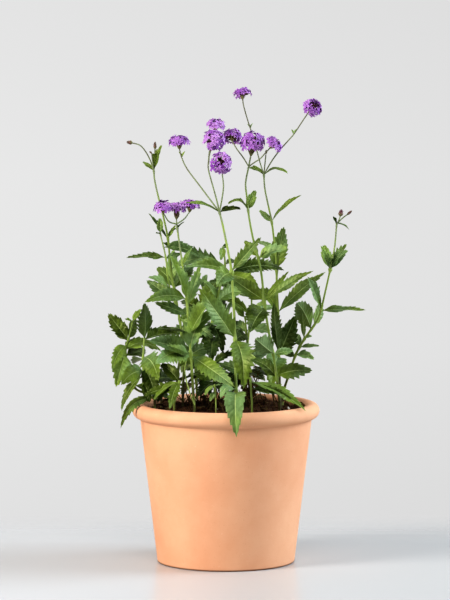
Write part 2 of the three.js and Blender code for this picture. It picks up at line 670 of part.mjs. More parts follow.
      [176, -21, 166, -76, 9, 0.1, 20], [175, -5, 177, -76, 6, 0.08, 30],
      [170, -16, 160, -78, 7, 0.08, 30],
    ],
    heads: [],
  },
  front_low: {
    root: [26, -50],
    girth: [1.5, 1],
    stem: [[25, 170, -48], [24, 184, -46]],
    twigs: [],
    leaves: [
      [180, 80, 150, -56, 15, 0.05, 30], [182, -10.5, 198, -28, 14, 0.05, 30],
      [173, 66, 162, -53, 9, 0.04, 55],
    ],
    heads: [],
  },
  back_left: {
    root: [-30, 52],
    girth: [1.6, 0.9],
    stem: [[-30, 195, 52], [-28, 225, 50], [-24, 255, 46], [-22, 275, 44]],
    twigs: [],
    leaves: [
      [274, -31, 285, 58, 8, 0.01, 0], [274, -19, 287, 58, 6, 0.09, 5],
      [250, -45, 260.5, 74, 19, 0.06, 40], [222, -4.5, 226, 90, 20, 0.12, -5],
      [221, -60.5, 223, 62, 14, 0.25, 40], [192, -44.5, 188.5, 100, 18, 0.21, -10],
      [190, 4, 187, 62, 18, 0.1, 20], [253, -6.5, 284, 81, 18, 0.09, 5],
      [184, -11, 172, 62, 14, 0.1, 10], [186, -50, 175, 66, 14, 0.1, 10],
      [183, -15, 165, 30, 17, 0.05, 10], [179, -44, 166, 88, 16, 0.05, 10],
    ],
    heads: [],
  },
  back_right: {
    root: [18, 60],
    girth: [1.6, 0.9],
    stem: [[19, 192, 60], [22, 222, 60], [25, 250, 58], [25.5, 263, 57]],
    twigs: [],
    leaves: [
      [180, 36, 170, 84, 14, 0.05, 10],
      [246, 50, 255, 88, 9, 0.05, 40],
      [190, 39, 180.5, 106, 17, 0.06, -10],
      [245, -21.5, 264.5, 79, 10, 0.15, 40],
      [262, -18.5, 279, 30, 15, 0.09, 65],
    ],
    heads: [],
  },
};

// The foot of a stem goes straight down into the soil; the rest runs on from its top.
const FOOT_TOP = SOIL_TOP + SOIL_CROWN + SOIL_CRUMB + STEM_FOOT;
const FOOT_BOTTOM = SOIL_TOP - STEM_DEPTH;

function shootSolid({ root, girth, stem, twigs, leaves }) {
  const start = new THREE.Vector3(...root, FOOT_TOP);
  const foot = new THREE.Vector3(...root, FOOT_BOTTOM);
  const centres = [foot, ...stemCentres([start, ...stem.map((point) => at(...point))], 2)];
  const pieces = [stemSolid(centres, ...girth)];
  for (const twig of twigs) {
    const twigCentres = stemCentres(twig.map((point) => at(...point)), 3);
    pieces.push(stemSolid(twigCentres, girth[1] * 0.85, 0.75));
  }
  for (const [height, u, v, depth, width, arch, face] of leaves) {
    pieces.push(leafSolid(onStem(centres, height), at(u, v, depth), width, arch, face));
  }
  return union(pieces);
}

for (const [name, shoot] of Object.entries(SHOOTS)) {
  addNode(`shoot_${name}`, shootSolid(shoot), "foliage");
  for (const [head, foot, direction, size, kind, girth] of shoot.heads) {
    const axis = new THREE.Vector3(...direction).normalize();
    const start = at(...foot);
    const profile = kind ? headRings(size, kind.cone) : budRings(size, girth);
    addNode(`bracts_${head}`, spikeSolid(start, axis, profile), "bracts");
    if (!kind) continue;
    const crown = start.clone().addScaledVector(axis, kind.cone * size);
    addNode(`florets_${head}`, floretsSolid(crown, axis, size, kind.rings), "florets");
  }
}

// ---------------------------------------------------------------- pot
const innerRadius = (z) => {
  const foot = POT_BASE_RADIUS - POT_WALL;
  const top = POT_WALL_TOP_RADIUS - POT_WALL + 2.5;
  return foot + ((top - foot) * (z - POT_FLOOR)) / (POT_HEIGHT - POT_FLOOR);
};

function potSolid() {
  const groove = POT_HEIGHT - RIM_HEIGHT;
  const profile = [
    [0, 0],
    [POT_BASE_RADIUS - 1.5, 0],
    [POT_BASE_RADIUS, 1.5],
    [POT_WALL_TOP_RADIUS, groove - 1],
    [POT_WALL_TOP_RADIUS + 1.5, groove],
    [POT_RIM_RADIUS - 1.4, groove + 3.6],
    [POT_RIM_RADIUS, groove + 8],
    [POT_RIM_RADIUS - 1.6, groove + 13],
    [POT_RIM_RADIUS - 6, POT_HEIGHT],
    [innerRadius(POT_HEIGHT) + 1.6, POT_HEIGHT],
    [innerRadius(POT_HEIGHT - 3), POT_HEIGHT - 3],
    [innerRadius(POT_FLOOR), POT_FLOOR],
    [0, POT_FLOOR],
  ];
  const points = profile.map(([r, z]) => new THREE.Vector2(r, z));
  const lathe = new THREE.LatheGeometry(points, POT_SIDES).rotateX(Math.PI / 2);
  let solid = solidOfGeometry(lathe);
  for (let k = 0; k < DRAIN_COUNT; k++) {
    const angle = ((k + 0.25) * 2 * Math.PI) / DRAIN_COUNT;
    const drill = new THREE.CylinderGeometry(DRAIN_RADIUS, DRAIN_RADIUS, 3 * POT_FLOOR, 12);
    drill.rotateX(Math.PI / 2);
    drill.translate(Math.cos(angle) * DRAIN_CIRCLE, Math.sin(angle) * DRAIN_CIRCLE, POT_FLOOR / 2);
    solid = solid.subtract(solidOfGeometry(drill));
  }
  return solid;
}

// ---------------------------------------------------------------- soil
// Rings of the soil's top, from the middle out, lifted by a slow swell and by crumbs.
function soilHeight(x, y) {
  const reach = Math.hypot(x, y) / innerRadius(SOIL_TOP);
  const swell = SOIL_CROWN * (1 - reach * reach);
  const crumbs = Math.sin(0.31 * x + 1.3) * Math.cos(0.27 * y) + Math.sin(0.9 * x - 0.7 * y);
  return SOIL_TOP + swell + 0.5 * SOIL_CRUMB * crumbs;
}

function soilSolid() {
  const sides = 22;
  const shares = [0.33, 0.68, 1];
  const positions = [];
  const triangles = [];
  const addRing = (radius, height) => {
    for (let j = 0; j < sides; j++) {
      const angle = (j * 2 * Math.PI) / sides;
      const x = Math.cos(angle) * radius;
      const y = Math.sin(angle) * radius;
      positions.push(x, y, height === undefined ? soilHeight(x, y) : height);
    }
  };
  const inscribed = Math.cos(Math.PI / POT_SIDES); // keeps clear of the pot's flat sides
  const wall = (z) => innerRadius(z) * inscribed - SOIL_GAP;
  positions.push(0, 0, soilHeight(0, 0));
  shares.forEach((share) => addRing(share * wall(SOIL_TOP)));
  addRing(wall(POT_FLOOR + JOINT_GAP), POT_FLOOR + JOINT_GAP);
  const floorCentre = positions.length / 3;
  positions.push(0, 0, POT_FLOOR + JOINT_GAP);
  for (let j = 0; j < sides; j++) triangles.push(0, 1 + j, 1 + ((j + 1) % sides));
  for (let ring = 0; ring < shares.length; ring++) {
    for (let j = 0; j < sides; j++) {
      const a = 1 + ring * sides + j;
      const b = 1 + ring * sides + ((j + 1) % sides);
      triangles.push(a, a + sides, b + sides, a, b + sides, b);
    }
  }
  const lastRing = 1 + shares.length * sides;
  for (let j = 0; j < sides; j++) {
    triangles.push(floorCentre, lastRing + ((j + 1) % sides), lastRing + j);
  }
  return solidOf(positions, triangles);
}

// The hole that a shoot's stem stands in, open at the soil's top.
function stemHole({ root, girth }) {
  const ends = [FOOT_BOTTOM - HOLE_GAP, FOOT_TOP - 1].map((z) => new THREE.Vector3(...root, z));
  return stemSolid(ends, girth[0] + HOLE_GAP, girth[0] + HOLE_GAP);
}

addNode("pot", potSolid(), "terracotta");
const holes = union(Object.values(SHOOTS).map(stemHole));
addNode("soil", soilSolid().subtract(holes), "soil");

export default plant;
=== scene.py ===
# %% [markdown]
# # Slender vervain in a terracotta pot
#
# The real thing is a garden plant, about half a metre tall with its pot: a clump of thin
# square stems, stiff toothed leaves in opposite pairs, and small purple heads on long bare
# stalks. The pot is fired clay with a rolled rim, and dark potting mix fills it.
#
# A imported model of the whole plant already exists, with each shoot, head, pot and soil in its
# right place but made of few flat facets. Every step here works out a finer surface as a numpy
# grid over two parameters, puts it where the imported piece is, and lets it stand for that piece.

import bmesh
import bpy
import numpy as np
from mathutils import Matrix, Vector


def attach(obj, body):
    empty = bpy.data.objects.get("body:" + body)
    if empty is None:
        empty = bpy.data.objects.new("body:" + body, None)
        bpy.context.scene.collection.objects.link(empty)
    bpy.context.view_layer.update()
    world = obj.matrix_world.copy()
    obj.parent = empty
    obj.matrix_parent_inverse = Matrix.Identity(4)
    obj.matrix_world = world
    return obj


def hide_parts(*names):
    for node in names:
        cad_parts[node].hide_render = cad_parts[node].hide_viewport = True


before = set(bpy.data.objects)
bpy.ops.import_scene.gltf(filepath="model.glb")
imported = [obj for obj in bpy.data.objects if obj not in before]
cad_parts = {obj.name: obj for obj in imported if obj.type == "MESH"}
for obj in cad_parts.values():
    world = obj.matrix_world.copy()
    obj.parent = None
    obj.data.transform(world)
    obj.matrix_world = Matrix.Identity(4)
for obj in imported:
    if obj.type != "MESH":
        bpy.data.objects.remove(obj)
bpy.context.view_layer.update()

MM = 0.001

# %% [markdown]
# ## The camera
#
# The plant is looked at from a little above the middle and from over three metres away, which
# is why the rim of the pot shows as a thin ellipse and the verticals hardly converge. A long
# lens gives that flat, calm view. The camera comes first, because the layout of the plant below
# is a drawing seen from the same eye point.

# %% Place the camera
EYE = np.array([-1.0, -3364.0, 561.0]) * MM
PITCH_DOWN = np.radians(5.0)

camera_data = bpy.data.cameras.new("camera")
camera_data.lens = 200
camera_data.sensor_width = 36
camera_data.clip_end = 50
camera = bpy.data.objects.new("camera", camera_data)
camera.location = EYE
camera.rotation_euler = (np.pi / 2 - PITCH_DOWN, 0, 0)
bpy.context.scene.collection.objects.link(camera)
bpy.context.scene.camera = camera
print("camera is", round(-EYE[1], 3), "m in front of the pot")

# %% [markdown]
# ## The layout of the plant
#
# A plant has no drawing with dimensions, but its front view can be laid out like one. Every
# point has a place u, v on an upright sheet through the pot's axis, u to the right and v above
# the floor, and a depth behind that sheet in millimetres. The point is pushed along its line
# to the eye, so the front view stays as drawn whatever the depth, and the depth is free to keep
# stems and leaves apart.

# %% From the drawing to space
SHEET_UNIT = 1.02 * MM


def at(rows):
    """Points in space for rows of (u, v, depth): eye + (sheet point - eye) * stretch, where
    stretch is the distance to the depth's plane over the distance to the sheet."""
    u, v, depth = np.atleast_2d(np.asarray(rows, float)).T
    drawn = np.stack([u * SHEET_UNIT, 0 * u, v * SHEET_UNIT], axis=1)
    stretch = (depth * MM - EYE[1]) / -EYE[1]
    return EYE + (drawn - EYE) * stretch[:, None]


def drawn_height(points):
    """The height v at which points in space are drawn: the same rule, turned round."""
    stretch = (points[:, 1] - EYE[1]) / -EYE[1]
    return ((points[:, 2] - EYE[2]) / stretch + EYE[2]) / SHEET_UNIT


print("a point at u 0, v 200, depth 50 mm is at", np.round(at((0, 200, 50))[0] / MM, 1), "mm")

# %% [markdown]
# ## The shoots, point by point
#
# A clump of vervain sends up shoots of every age, so no rule places its leaves: each is written
# down. A shoot has a root (x and y in mm where it leaves the soil), a girth at foot and top, the
# points of its stem, its side stalks, its leaves and its heads. A leaf is the height v where it
# leaves the stem, then u, v and depth of its tip, its width in mm, how high it arches as a share
# of its length, and how many degrees its face is turned to the front. A head is a name, the
# point at its foot, its direction, its size and its kind. A closed bud has None for its kind,
# and then its girth as a share of a round bud's.

# %% The table of shoots
SHOOTS = {
  "centre": {
    "root": [11, -62],
    "girth": [1.9, 1.15],
    "stem": [
      [10, 178, -62], [9, 222, -56], [8, 250, -50], [5.5, 289, -42],
      [2, 310, -38], [-3, 335, -34], [-6.5, 349, -32],
    ],
    "twigs": [
      [
        [-6.5, 349, -32], [-14, 359, -30], [-26, 375, -26], [-38, 391, -22],
        [-43.5, 402, -20], [-46, 411, -20],
      ],
      [
        [-6.5, 349, -32], [-9.5, 362, -33], [-14, 378, -33], [-17.5, 392, -32],
        [-17, 402, -31], [-15.5, 409, -31],
      ],
      [[-17.3, 397, -31.5], [-16, 411, -17], [-11.2, 428.4, -3]],
      [[-6.5, 349, -32], [-4, 362, -36], [-2.5, 374, -38], [-3.5, 385, -38], [-5, 395.5, -40]],
    ],
    "leaves": [
      [349, -41, 358, -44, 6, 0.1, 25], [349, 15, 352, -24, 8, 0.06, 30],
      [289, -41, 294, -56, 11, 0.11, 60], [290, 35, 324, -46, 12, 0, 70],
      [289, 58, 291, 6, 14, 0.06, 75], [287, -9.5, 274, -82, 25, 0.12, 40],
      [223, -26, 273, -72, 22, 0.01, 75], [222, 17.5, 172.5, -86, 21, 0.21, 5],
      [168, 10.5, 124, -104, 21, 0.32, 0], [170, -5.5, 163, -84, 13, 0.28, 30],
      [262, 0.5, 243, -30, 9, 0.05, 30],
    ],
    "heads": [
      ["dome", [-46, 411.5, -20], [-0.05, -0.1, 1], 1, "dome"],
      ["twin_front", [-15.5, 409.5, -31], [0.32, -0.4, 0.87], 1, "tall"],
      ["twin_back", [-11, 429, -3], [0.1, -0.3, 0.95], 0.9, "dome"],
      ["facing", [-5, 396, -40.5], [0, -0.93, 0.36], 1.02, "wheel"],
    ],
  },
  "right_front": {
    "root": [54, -36],
    "girth": [1.7, 0.9],
    "stem": [
      [51, 180, -36], [47, 208, -35], [42.5, 230, -34], [38, 260, -32], [35.5, 285, -30],
      [32, 303, -28], [27, 322, -26], [23, 343, -25], [20.5, 365, -24], [19.5, 378, -24],
      [22.5, 394, -24], [24.4, 404, -24],
    ],
    "twigs": [
      [[22.5, 394, -24], [17, 403, -17], [11, 411, -7], [6.2, 418.9, 2]],
      [[22.5, 394, -24], [28, 398, -30], [34, 402, -33], [38.5, 407, -31], [43.2, 412, -28.5]],
      [[32.5, 301, -28], [37.5, 311, -32]],
    ],
    "leaves": [
      [351, 1.5, 356.5, -34, 9, 0.28, 10], [351, 29.5, 370.5, -20, 9, 0.04, 65],
      [303, 61.5, 313, -40, 17, 0.07, 55], [304, 18, 320.5, -16, 9, 0.04, 40],
      [261, 6, 283, -22, 17, 0.02, 60], [260, 87, 290.5, -50, 12, 0.03, 55],
      [263, 62.5, 290.5, -22, 7, 0, 35], [257, 29, 255, -12, 7, 0.1, 55],
      [253, 24, 229, -78, 25, 0.06, 25], [208, 29, 223, -80, 20, 0, -50],
      [207, 67, 211, -12, 8, 0.03, 55], [186, 86, 191, -44, 16, 0.07, 75],
      [183, 22.5, 202.5, -30, 18, 0.11, 45],
    ],
    "heads": [
      ["large", [24.5, 404.5, -24], [0.14, -0.15, 0.98], 1.12, "cap"],
      ["backward", [6, 419.5, 2], [-0.05, 0.5, 0.85], 0.88, "low"],
      ["leaning", [43.5, 412.4, -28.5], [0.75, -0.2, 0.63], 0.86, "flat"],
    ],
  },
  "right_tall": {
    "root": [56, 14],
    "girth": [1.7, 0.9],
    "stem": [
      [53, 185, 12], [52, 215, 12], [51.5, 250, 11], [50.5, 275, 9], [50, 298, 7],
      [48, 318, 5], [45.5, 338, 2], [42, 355, -1], [38.5, 372, -4], [37.5, 386, -5],
    ],
    "twigs": [
      [
        [37.5, 386, -5], [34, 397, -2], [31, 408, 2], [27.5, 421, 5], [24, 432, 3],
        [20.5, 443, 0], [17.5, 454, -2], [16.5, 460, -3],
      ],
      [
        [37.5, 386, -5], [45, 399, -11], [53, 410, -15], [60, 418, -18], [67, 426, -20],
        [75, 438, -21], [82, 448.5, -22],
      ],
      [[37.5, 386, -5], [38.5, 396, -6], [39.5, 406, -7]],
    ],
    "leaves": [
      [386, 20, 392.5, 6, 7, 0.12, 25], [386, 61.5, 387, -12, 8, 0.22, 15],
      [339, 33, 351, 12, 6, 0.03, 45], [340, 75, 366, -6, 7, 0.06, 35],
      [291, 57.5, 334.5, 8, 17, 0.03, 75], [290, 32, 296, 50, 16, 0.1, 0],
      [249, 99, 289.5, 14, 15, 0.06, 50], [248, 24, 268, 48, 12, 0.19, 25],
      [209, 47.5, 259.5, -14, 11, 0.03, 0], [205, 69.5, 246.5, 22, 23, 0.02, 65],
      [185, 27, 195, 50, 13, 0, 20], [205, 44.5, 171.5, -37, 21, 0.16, 35],
      [309, 31, 320, 36, 9, 0.06, 20],
    ],
    "heads": [
      ["highest", [16.5, 460.5, -3], [-0.12, 0.1, 1], 0.84, "flat"],
      ["outermost", [82.5, 449, -22], [0.5, -0.62, 0.6], 0.92, "wheel"],
      ["green_bud", [39.7, 407, -7], [0.05, 0, 1], 0.6, None, 0.8],
    ],
  },
  "far_right": {
    "root": [58, 38],
    "girth": [1.5, 0.9],
    "stem": [
      [62, 185, 34], [69, 206, 28], [77, 221, 22], [90, 240, 14], [94.5, 252, 9],
      [98, 267, 6], [103.5, 292, 2], [107.7, 314, 0], [109.8, 338, 0],
    ],
    "twigs": [
      [[109.8, 337, 0], [112, 341, -1], [113.2, 344.8, -1]],
      [[109.8, 337, 0], [115, 342.5, 2], [120.2, 346.4, 3]],
    ],
    "leaves": [
      [337, 106, 344.5, -4, 5, 0.03, 75], [338, 122.5, 331, 2, 4, 0.12, 20],
      [292, 94, 315.5, -12, 9, 0, 75], [292, 120, 317, -12, 13, 0.02, 75],
      [251, 139, 251.5, -10, 12, 0, 35], [252, 81, 285, -8, 12, 0.03, 75],
      [232, 70, 259, -14, 19, 0.09, -55],
      [222, 75.5, 249, -4, 5, 0.06, 0], [223, 85.5, 225, 16, 7, 0.12, 45],
      [214.5, 93, 215.5, 14, 5, 0.02, 40], [215, 68, 226, 46, 8, 0.1, 40],
      [207, 87.5, 202, 16, 9, 0.08, 40], [205, 57, 211, 44, 8, 0.02, 60],
      [292, 97.5, 316.5, 29, 11, 0.05, 5], [236, 96, 258.5, 45, 12, 0.03, 60],
      [292, 121, 311, 12, 10, 0.08, 50],
    ],
    "heads": [
      ["maroon_bud", [113.4, 345.4, -1], [0.18, 0, 1], 1.05, None, 1],
      ["side_bud", [120.6, 346.8, 3], [0.75, 0, 0.62], 0.9, None, 0.6],
    ],
  },
  "left_flower": {
    "root": [-32, -42],
    "girth": [1.7, 1],
    "stem": [
      [-33, 175, -40], [-35, 207, -37], [-37.5, 242, -34], [-38.5, 257, -33], [-40.5, 275, -32],
      [-43, 295, -31], [-46, 316, -30], [-49, 338, -30],
    ],
    "twigs": [
      [[-49, 337, -30], [-56.5, 339.5, -40], [-61.5, 347, -47]],
      [[-49, 337, -30], [-41.5, 342, -20], [-36.5, 348.5, -11]],
      [[-49, 337, -30], [-49, 339, -30], [-49, 341, -30]],
      [[-36, 212, -37], [-41, 192, -44], [-37, 172, -56], [-31, 156, -66]],
    ],
    "leaves": [
      [333, -53, 330, -26, 6, 0.08, 0], [333, -41.5, 339, -38, 6, 0.07, 10],
      [297, -33.5, 313.5, -44, 6, 0, 70], [262, -81, 259, -72, 13, 0.12, 60],
      [262, -56, 306, -50, 16, 0, 75], [256, -26, 296, -24, 11, 0, 55],
      [247, -71, 259, -40, 13, 0, 45], [229, -69.5, 233, -58, 13, 0.01, 5],
      [227, -11.5, 265.5, -54, 19, 0.01, 75], [207, -77, 220.5, -82, 20, 0.06, 60],
      [206, 9, 174.5, -84, 18, 0.03, 40], [209, -7.5, 250, -34, 18, 0.19, 65],
      [204, -70.5, 197, -84, 20, 0.12, 75], [188, -3, 184, -36, 14, 0, 65],
    ],
    "heads": [
      ["trio_middle", [-49, 341.5, -30], [0, -0.1, 1], 0.88, "cone"],
      ["trio_left", [-61.8, 347.5, -47.5], [-0.15, -0.2, 1], 0.9, "flat"],
      ["trio_right", [-36.2, 349, -10.5], [0.12, 0.1, 1], 0.9, "flat"],
    ],
  },
  "left_bud": {
    "root": [-44, 14],
    "girth": [1.5, 0.9],
    "stem": [
      [-42, 205, 8], [-45, 235, 4], [-51, 270, 0], [-55, 295, -4], [-57.5, 322, -8],
      [-62, 344, -10], [-67, 364, -10], [-70.5, 380, -10], [-71.5, 390, -10],
    ],
    "twigs": [
      [[-71.5, 389, -10], [-74.5, 399, -12], [-79, 408, -14], [-85, 415, -16], [-93, 417.5, -17]],
      [[-71.5, 389, -10], [-70.5, 399, -8], [-70.2, 411.5, -8]],
      [[-71.5, 389, -10], [-72.5, 397, -13], [-73.5, 407, -14]],
    ],
    "leaves": [
      [390, -63.2, 415.5, -14, 8, 0.02, 72], [390, -82.5, 399, -4, 4.5, 0.05, 30],
      [322, -77, 348, -14, 5, 0, 55], [323, -50, 336, -6, 4, 0.02, 50],
      [274, -69, 293.5, 14, 14, 0.09, 60], [273, -32, 296.5, 26, 15, 0.04, 40],
      [259, -79, 281, 16, 14, 0.04, 70],
      [241, -22.5, 244, 30, 14, 0.15, 50], [278, -52, 312, 25, 11, 0.1, 5],
      [292, -6, 299, -18, 10, 0.13, 65], [242, -11.5, 223, -25, 15, 0.05, 55],
    ],
    "heads": [
      ["drooping_bud", [-93, 417.6, -17], [-1, 0, 0.12], 0.88, None, 1],
      ["upright_bud", [-70.2, 412, -8], [0, 0, 1], 1.1, None, 0.6],
      ["tiny_bud", [-73.6, 407.5, -14], [-0.6, 0, 0.4], 0.45, None, 0.9],
    ],
  },
  "left_slim": {
    "root": [-52, -12],
    "girth": [1.4, 0.8],
    "stem": [
      [-46, 205, -15], [-45, 238, -18], [-50, 257, -20], [-55, 270, -22], [-58, 286, -24],
      [-60, 305, -24], [-65.5, 329, -24],
    ],
    "twigs": [],
    "leaves": [
      [328, -69.5, 328, -30, 6, 0, 5], [328, -65.5, 343, -20, 8, 0.13, 20],
      [304, -99, 303.5, -28, 10.5, 0.035, 40], [303, -45, 307.5, -20, 7.5, 0.01, 60],
      [269, -77.5, 284, -38, 10, 0.13, 35], [314, -24.5, 303.5, -15, 11, 0.1, 65],
      [194, -11.5, 214.5, 25, 19, 0.13, 45],
    ],
    "heads": [],
  },
  "low_left": {
    "root": [-72, -14],
    "girth": [1.6, 1.1],
    "stem": [[-81, 172, -16], [-82, 189, -16], [-82.5, 203, -16], [-81, 224, -12]],
    "twigs": [],
    "leaves": [
      [222, -81.5, 258.5, -40, 16, 0.02, 25], [222, -47, 228, 4, 17, 0.05, 25],
      [204, -67, 180.5, -62, 21, 0.12, 45], [203, -93, 198, 22, 14, 0.03, -10],
      [190, -104.5, 176.5, -48, 19, 0.15, 70], [187, -104, 150.5, -22, 9, 0.09, 25],
      [163, -105, 133, -36, 9, 0.25, 65], [175, -44.5, 181, 26, 19, 0.11, 35],
      [180, -76, 159, -24, 14, 0.1, 40], [196, -69, 161, -32, 16, 0.1, 40],
    ],
    "heads": [],
  },
  "far_left": {
    "root": [-66, 20],
    "girth": [1.5, 0.8],
    "stem": [[-89, 172, 14], [-96, 190, 8], [-100, 210, 2], [-97, 222, -2], [-92.5, 241, -4]],
    "twigs": [],
    "leaves": [
      [240, -100.5, 242.5, -10, 7, 0, 45], [240, -84, 252.5, 2, 6.5, 0, 25],
      [222, -117, 248, 8, 20, 0.02, 50], [213, -63.5, 209, 20, 17, 0.16, 40],
      [208, -109.5, 174.5, -26, 20, 0.115, 30], [206, -80, 212.5, 46, 14, 0.02, 45],
      [176, -53, 160.5, 5, 13, 0.07, 30], [175, -92, 172, -8, 12, 0.06, 20],
      [216, -113, 190.5, -38, 12, 0.08, 55], [212, -82, 214, 35, 14, 0.05, 30],
      [222, -89, 243, 24, 11, 0.05, 50], [220, -111, 247, 33, 14, 0.03, 60],
    ],
    "heads": [],
  },
  "front_left": {
    "root": [-52, -52],
    "girth": [1.4, 1.1],
    "stem": [[-49, 168, -54], [-46, 181, -55]],
    "twigs": [],
    "leaves": [
      [180, -72, 161, -64, 12, 0.08, 20], [179, -56, 152, -84, 10, 0.1, 20],
      [179, -65.5, 197, -40, 16, 0.09, 45], [173, -81, 165.5, -54, 12, 0.05, 60],
      [171, -68.5, 158.5, -13, 14, 0.12, 5],
    ],
    "heads": [],
  },
  "middle": {
    "root": [-12, 2],
    "girth": [2, 0.9],
    "stem": [
      [-11, 175, 1], [-14, 202, 3], [-15, 225, 5], [-12, 250, 8], [-7, 270, 10],
      [-2, 290, 12], [-1, 300, 12], [-3, 315, 12],
    ],
    "twigs": [],
    "leaves": [
      [314, -5.5, 301, 0, 6.5, 0.1, 15], [313, 2, 317.5, 20, 8, 0.02, 35],
      [293, -63.5, 319, 2, 18, 0.01, 25], [297, 17, 297, 56, 9, 0.06, 10],
      [262, -23, 281, 4, 14, 0.06, 55], [258, 19, 267.5, 46, 14, 0.15, 55],
      [226, -15.5, 199, -24, 26, 0.1, -10], [225, -25, 230, 44, 18, 0.13, 35],
      [196, 13.5, 208.5, -16, 9, 0.13, 65], [195, -43.5, 190, 20, 13, 0.08, 50],
      [286, 32.5, 274, -25, 16, 0.09, 20],
      [240, -20, 212, -8, 16, 0.1, 10], [188, -40, 176, 20, 16, 0.1, 20],
      [189, 12, 177, 28, 14, 0.1, 20], [238, -3.5, 209, -10, 12, 0.05, 10],
      [236, -2, 262, 40, 17, 0.05, 30], [180, -28, 165, -28, 17, 0.05, 15],
      [181, -1, 167, -22, 14, 0.05, 15],
    ],
    "heads": [],
  },
  "middle_right": {
    "root": [20, 14],
    "girth": [1.4, 0.9],
    "stem": [[20, 190, 12], [21, 215, 10], [20, 232, 10], [19, 245, 10]],
    "twigs": [],
    "leaves": [
      [244, 3.5, 257, 2, 9, 0, 65], [244, 27, 256, 4, 8, 0.02, 50],
      [231, 44, 228.5, -16, 15, 0.06, 25], [229, 2, 236, 30, 14, 0.1, 45],
      [196, 45, 207, 44, 12, 0.13, 30], [195, -3, 178, -12, 14, 0.04, 65],
      [227, 7, 219, -20, 16, 0.05, 40], [184, 6, 169, 30, 14, 0.05, 10],
      [191, 37, 182, -14, 13, 0.05, 15],
    ],
    "heads": [],
  },
  "seedling": {
    "root": [-10, -72],
    "girth": [1, 0.8],
    "stem": [[-10.5, 168, -72], [-11.5, 177, -73]],
    "twigs": [],
    "leaves": [
      [176, -21, 166, -76, 9, 0.1, 20], [175, -5, 177, -76, 6, 0.08, 30],
      [170, -16, 160, -78, 7, 0.08, 30],
    ],
    "heads": [],
  },
  "front_low": {
    "root": [26, -50],
    "girth": [1.5, 1],
    "stem": [[25, 170, -48], [24, 184, -46]],
    "twigs": [],
    "leaves": [
      [180, 80, 150, -56, 15, 0.05, 30], [182, -10.5, 198, -28, 14, 0.05, 30],
      [173, 66, 162, -53, 9, 0.04, 55],
    ],
    "heads": [],
  },
  "back_left": {
    "root": [-30, 52],
    "girth": [1.6, 0.9],
    "stem": [[-30, 195, 52], [-28, 225, 50], [-24, 255, 46], [-22, 275, 44]],
    "twigs": [],
    "leaves": [
      [274, -31, 285, 58, 8, 0.01, 0], [274, -19, 287, 58, 6, 0.09, 5],
      [250, -45, 260.5, 74, 19, 0.06, 40], [222, -4.5, 226, 90, 20, 0.12, -5],
      [221, -60.5, 223, 62, 14, 0.25, 40], [192, -44.5, 188.5, 100, 18, 0.21, -10],
      [190, 4, 187, 62, 18, 0.1, 20], [253, -6.5, 284, 81, 18, 0.09, 5],
      [184, -11, 172, 62, 14, 0.1, 10], [186, -50, 175, 66, 14, 0.1, 10],
      [183, -15, 165, 30, 17, 0.05, 10], [179, -44, 166, 88, 16, 0.05, 10],
    ],
    "heads": [],
  },
  "back_right": {
    "root": [18, 60],
    "girth": [1.6, 0.9],
    "stem": [[19, 192, 60], [22, 222, 60], [25, 250, 58], [25.5, 263, 57]],
    "twigs": [],
    "leaves": [
      [180, 36, 170, 84, 14, 0.05, 10],
      [246, 50, 255, 88, 9, 0.05, 40],
      [190, 39, 180.5, 106, 17, 0.06, -10],
      [245, -21.5, 264.5, 79, 10, 0.15, 40],
      [262, -18.5, 279, 30, 15, 0.09, 65],
    ],
    "heads": [],
  },
}

leaf_count = sum(len(shoot["leaves"]) for shoot in SHOOTS.values())
print(len(SHOOTS), "shoots with", leaf_count, "leaves")

# %% [markdown]
# ## Grids into meshes
#
# Every surface here is a grid of points: rows along it and columns across or round it. Blender
# could build them face by face, but a numpy grid is shorter to write and quicker to run, and its
# rows and columns give the material its own coordinates for nothing. Where a grid closes to a
# point, or its last column meets its first, the doubled points are merged.

# %% Turn grids into one piece
MERGE_WITHIN = 2e-6  # metres: points closer than this become one
SLIVER = 1e-7  # metres: edges shorter than this go
SHARP_FROM = np.radians(60)  # faces that meet at more than this show an edge


def closed_grid(points, across, along, tone=0.5, vein=0.0, material=0):
    """Closed surfaces: points[copy, row, column, xyz] (or one surface without the first axis),
    the last column next to the first, and what the materials read at each point: across and
    along (its own coordinates), tone and vein."""
    points = points.reshape(-1, *points.shape[-3:])
    copies, rows, columns = points.shape[:3]
    first = np.arange(copies)[:, None, None] * rows * columns
    row = first + np.arange(rows - 1)[:, None] * columns
    column = np.arange(columns)
    after = (column + 1) % columns
    quads = np.stack([row + column, row + after, row + columns + after, row + columns + column],
                     axis=-1).reshape(-1, 4)
    shape = (copies, rows, columns)
    read = {"across": across, "along": along, "tone": tone, "vein": vein}
    grid = {key: np.broadcast_to(value, shape).ravel() for key, value in read.items()}
    grid["material"] = np.broadcast_to(material, (copies, rows - 1, columns)).ravel()
    return grid | {"points": points.reshape(-1, 3), "quads": quads}


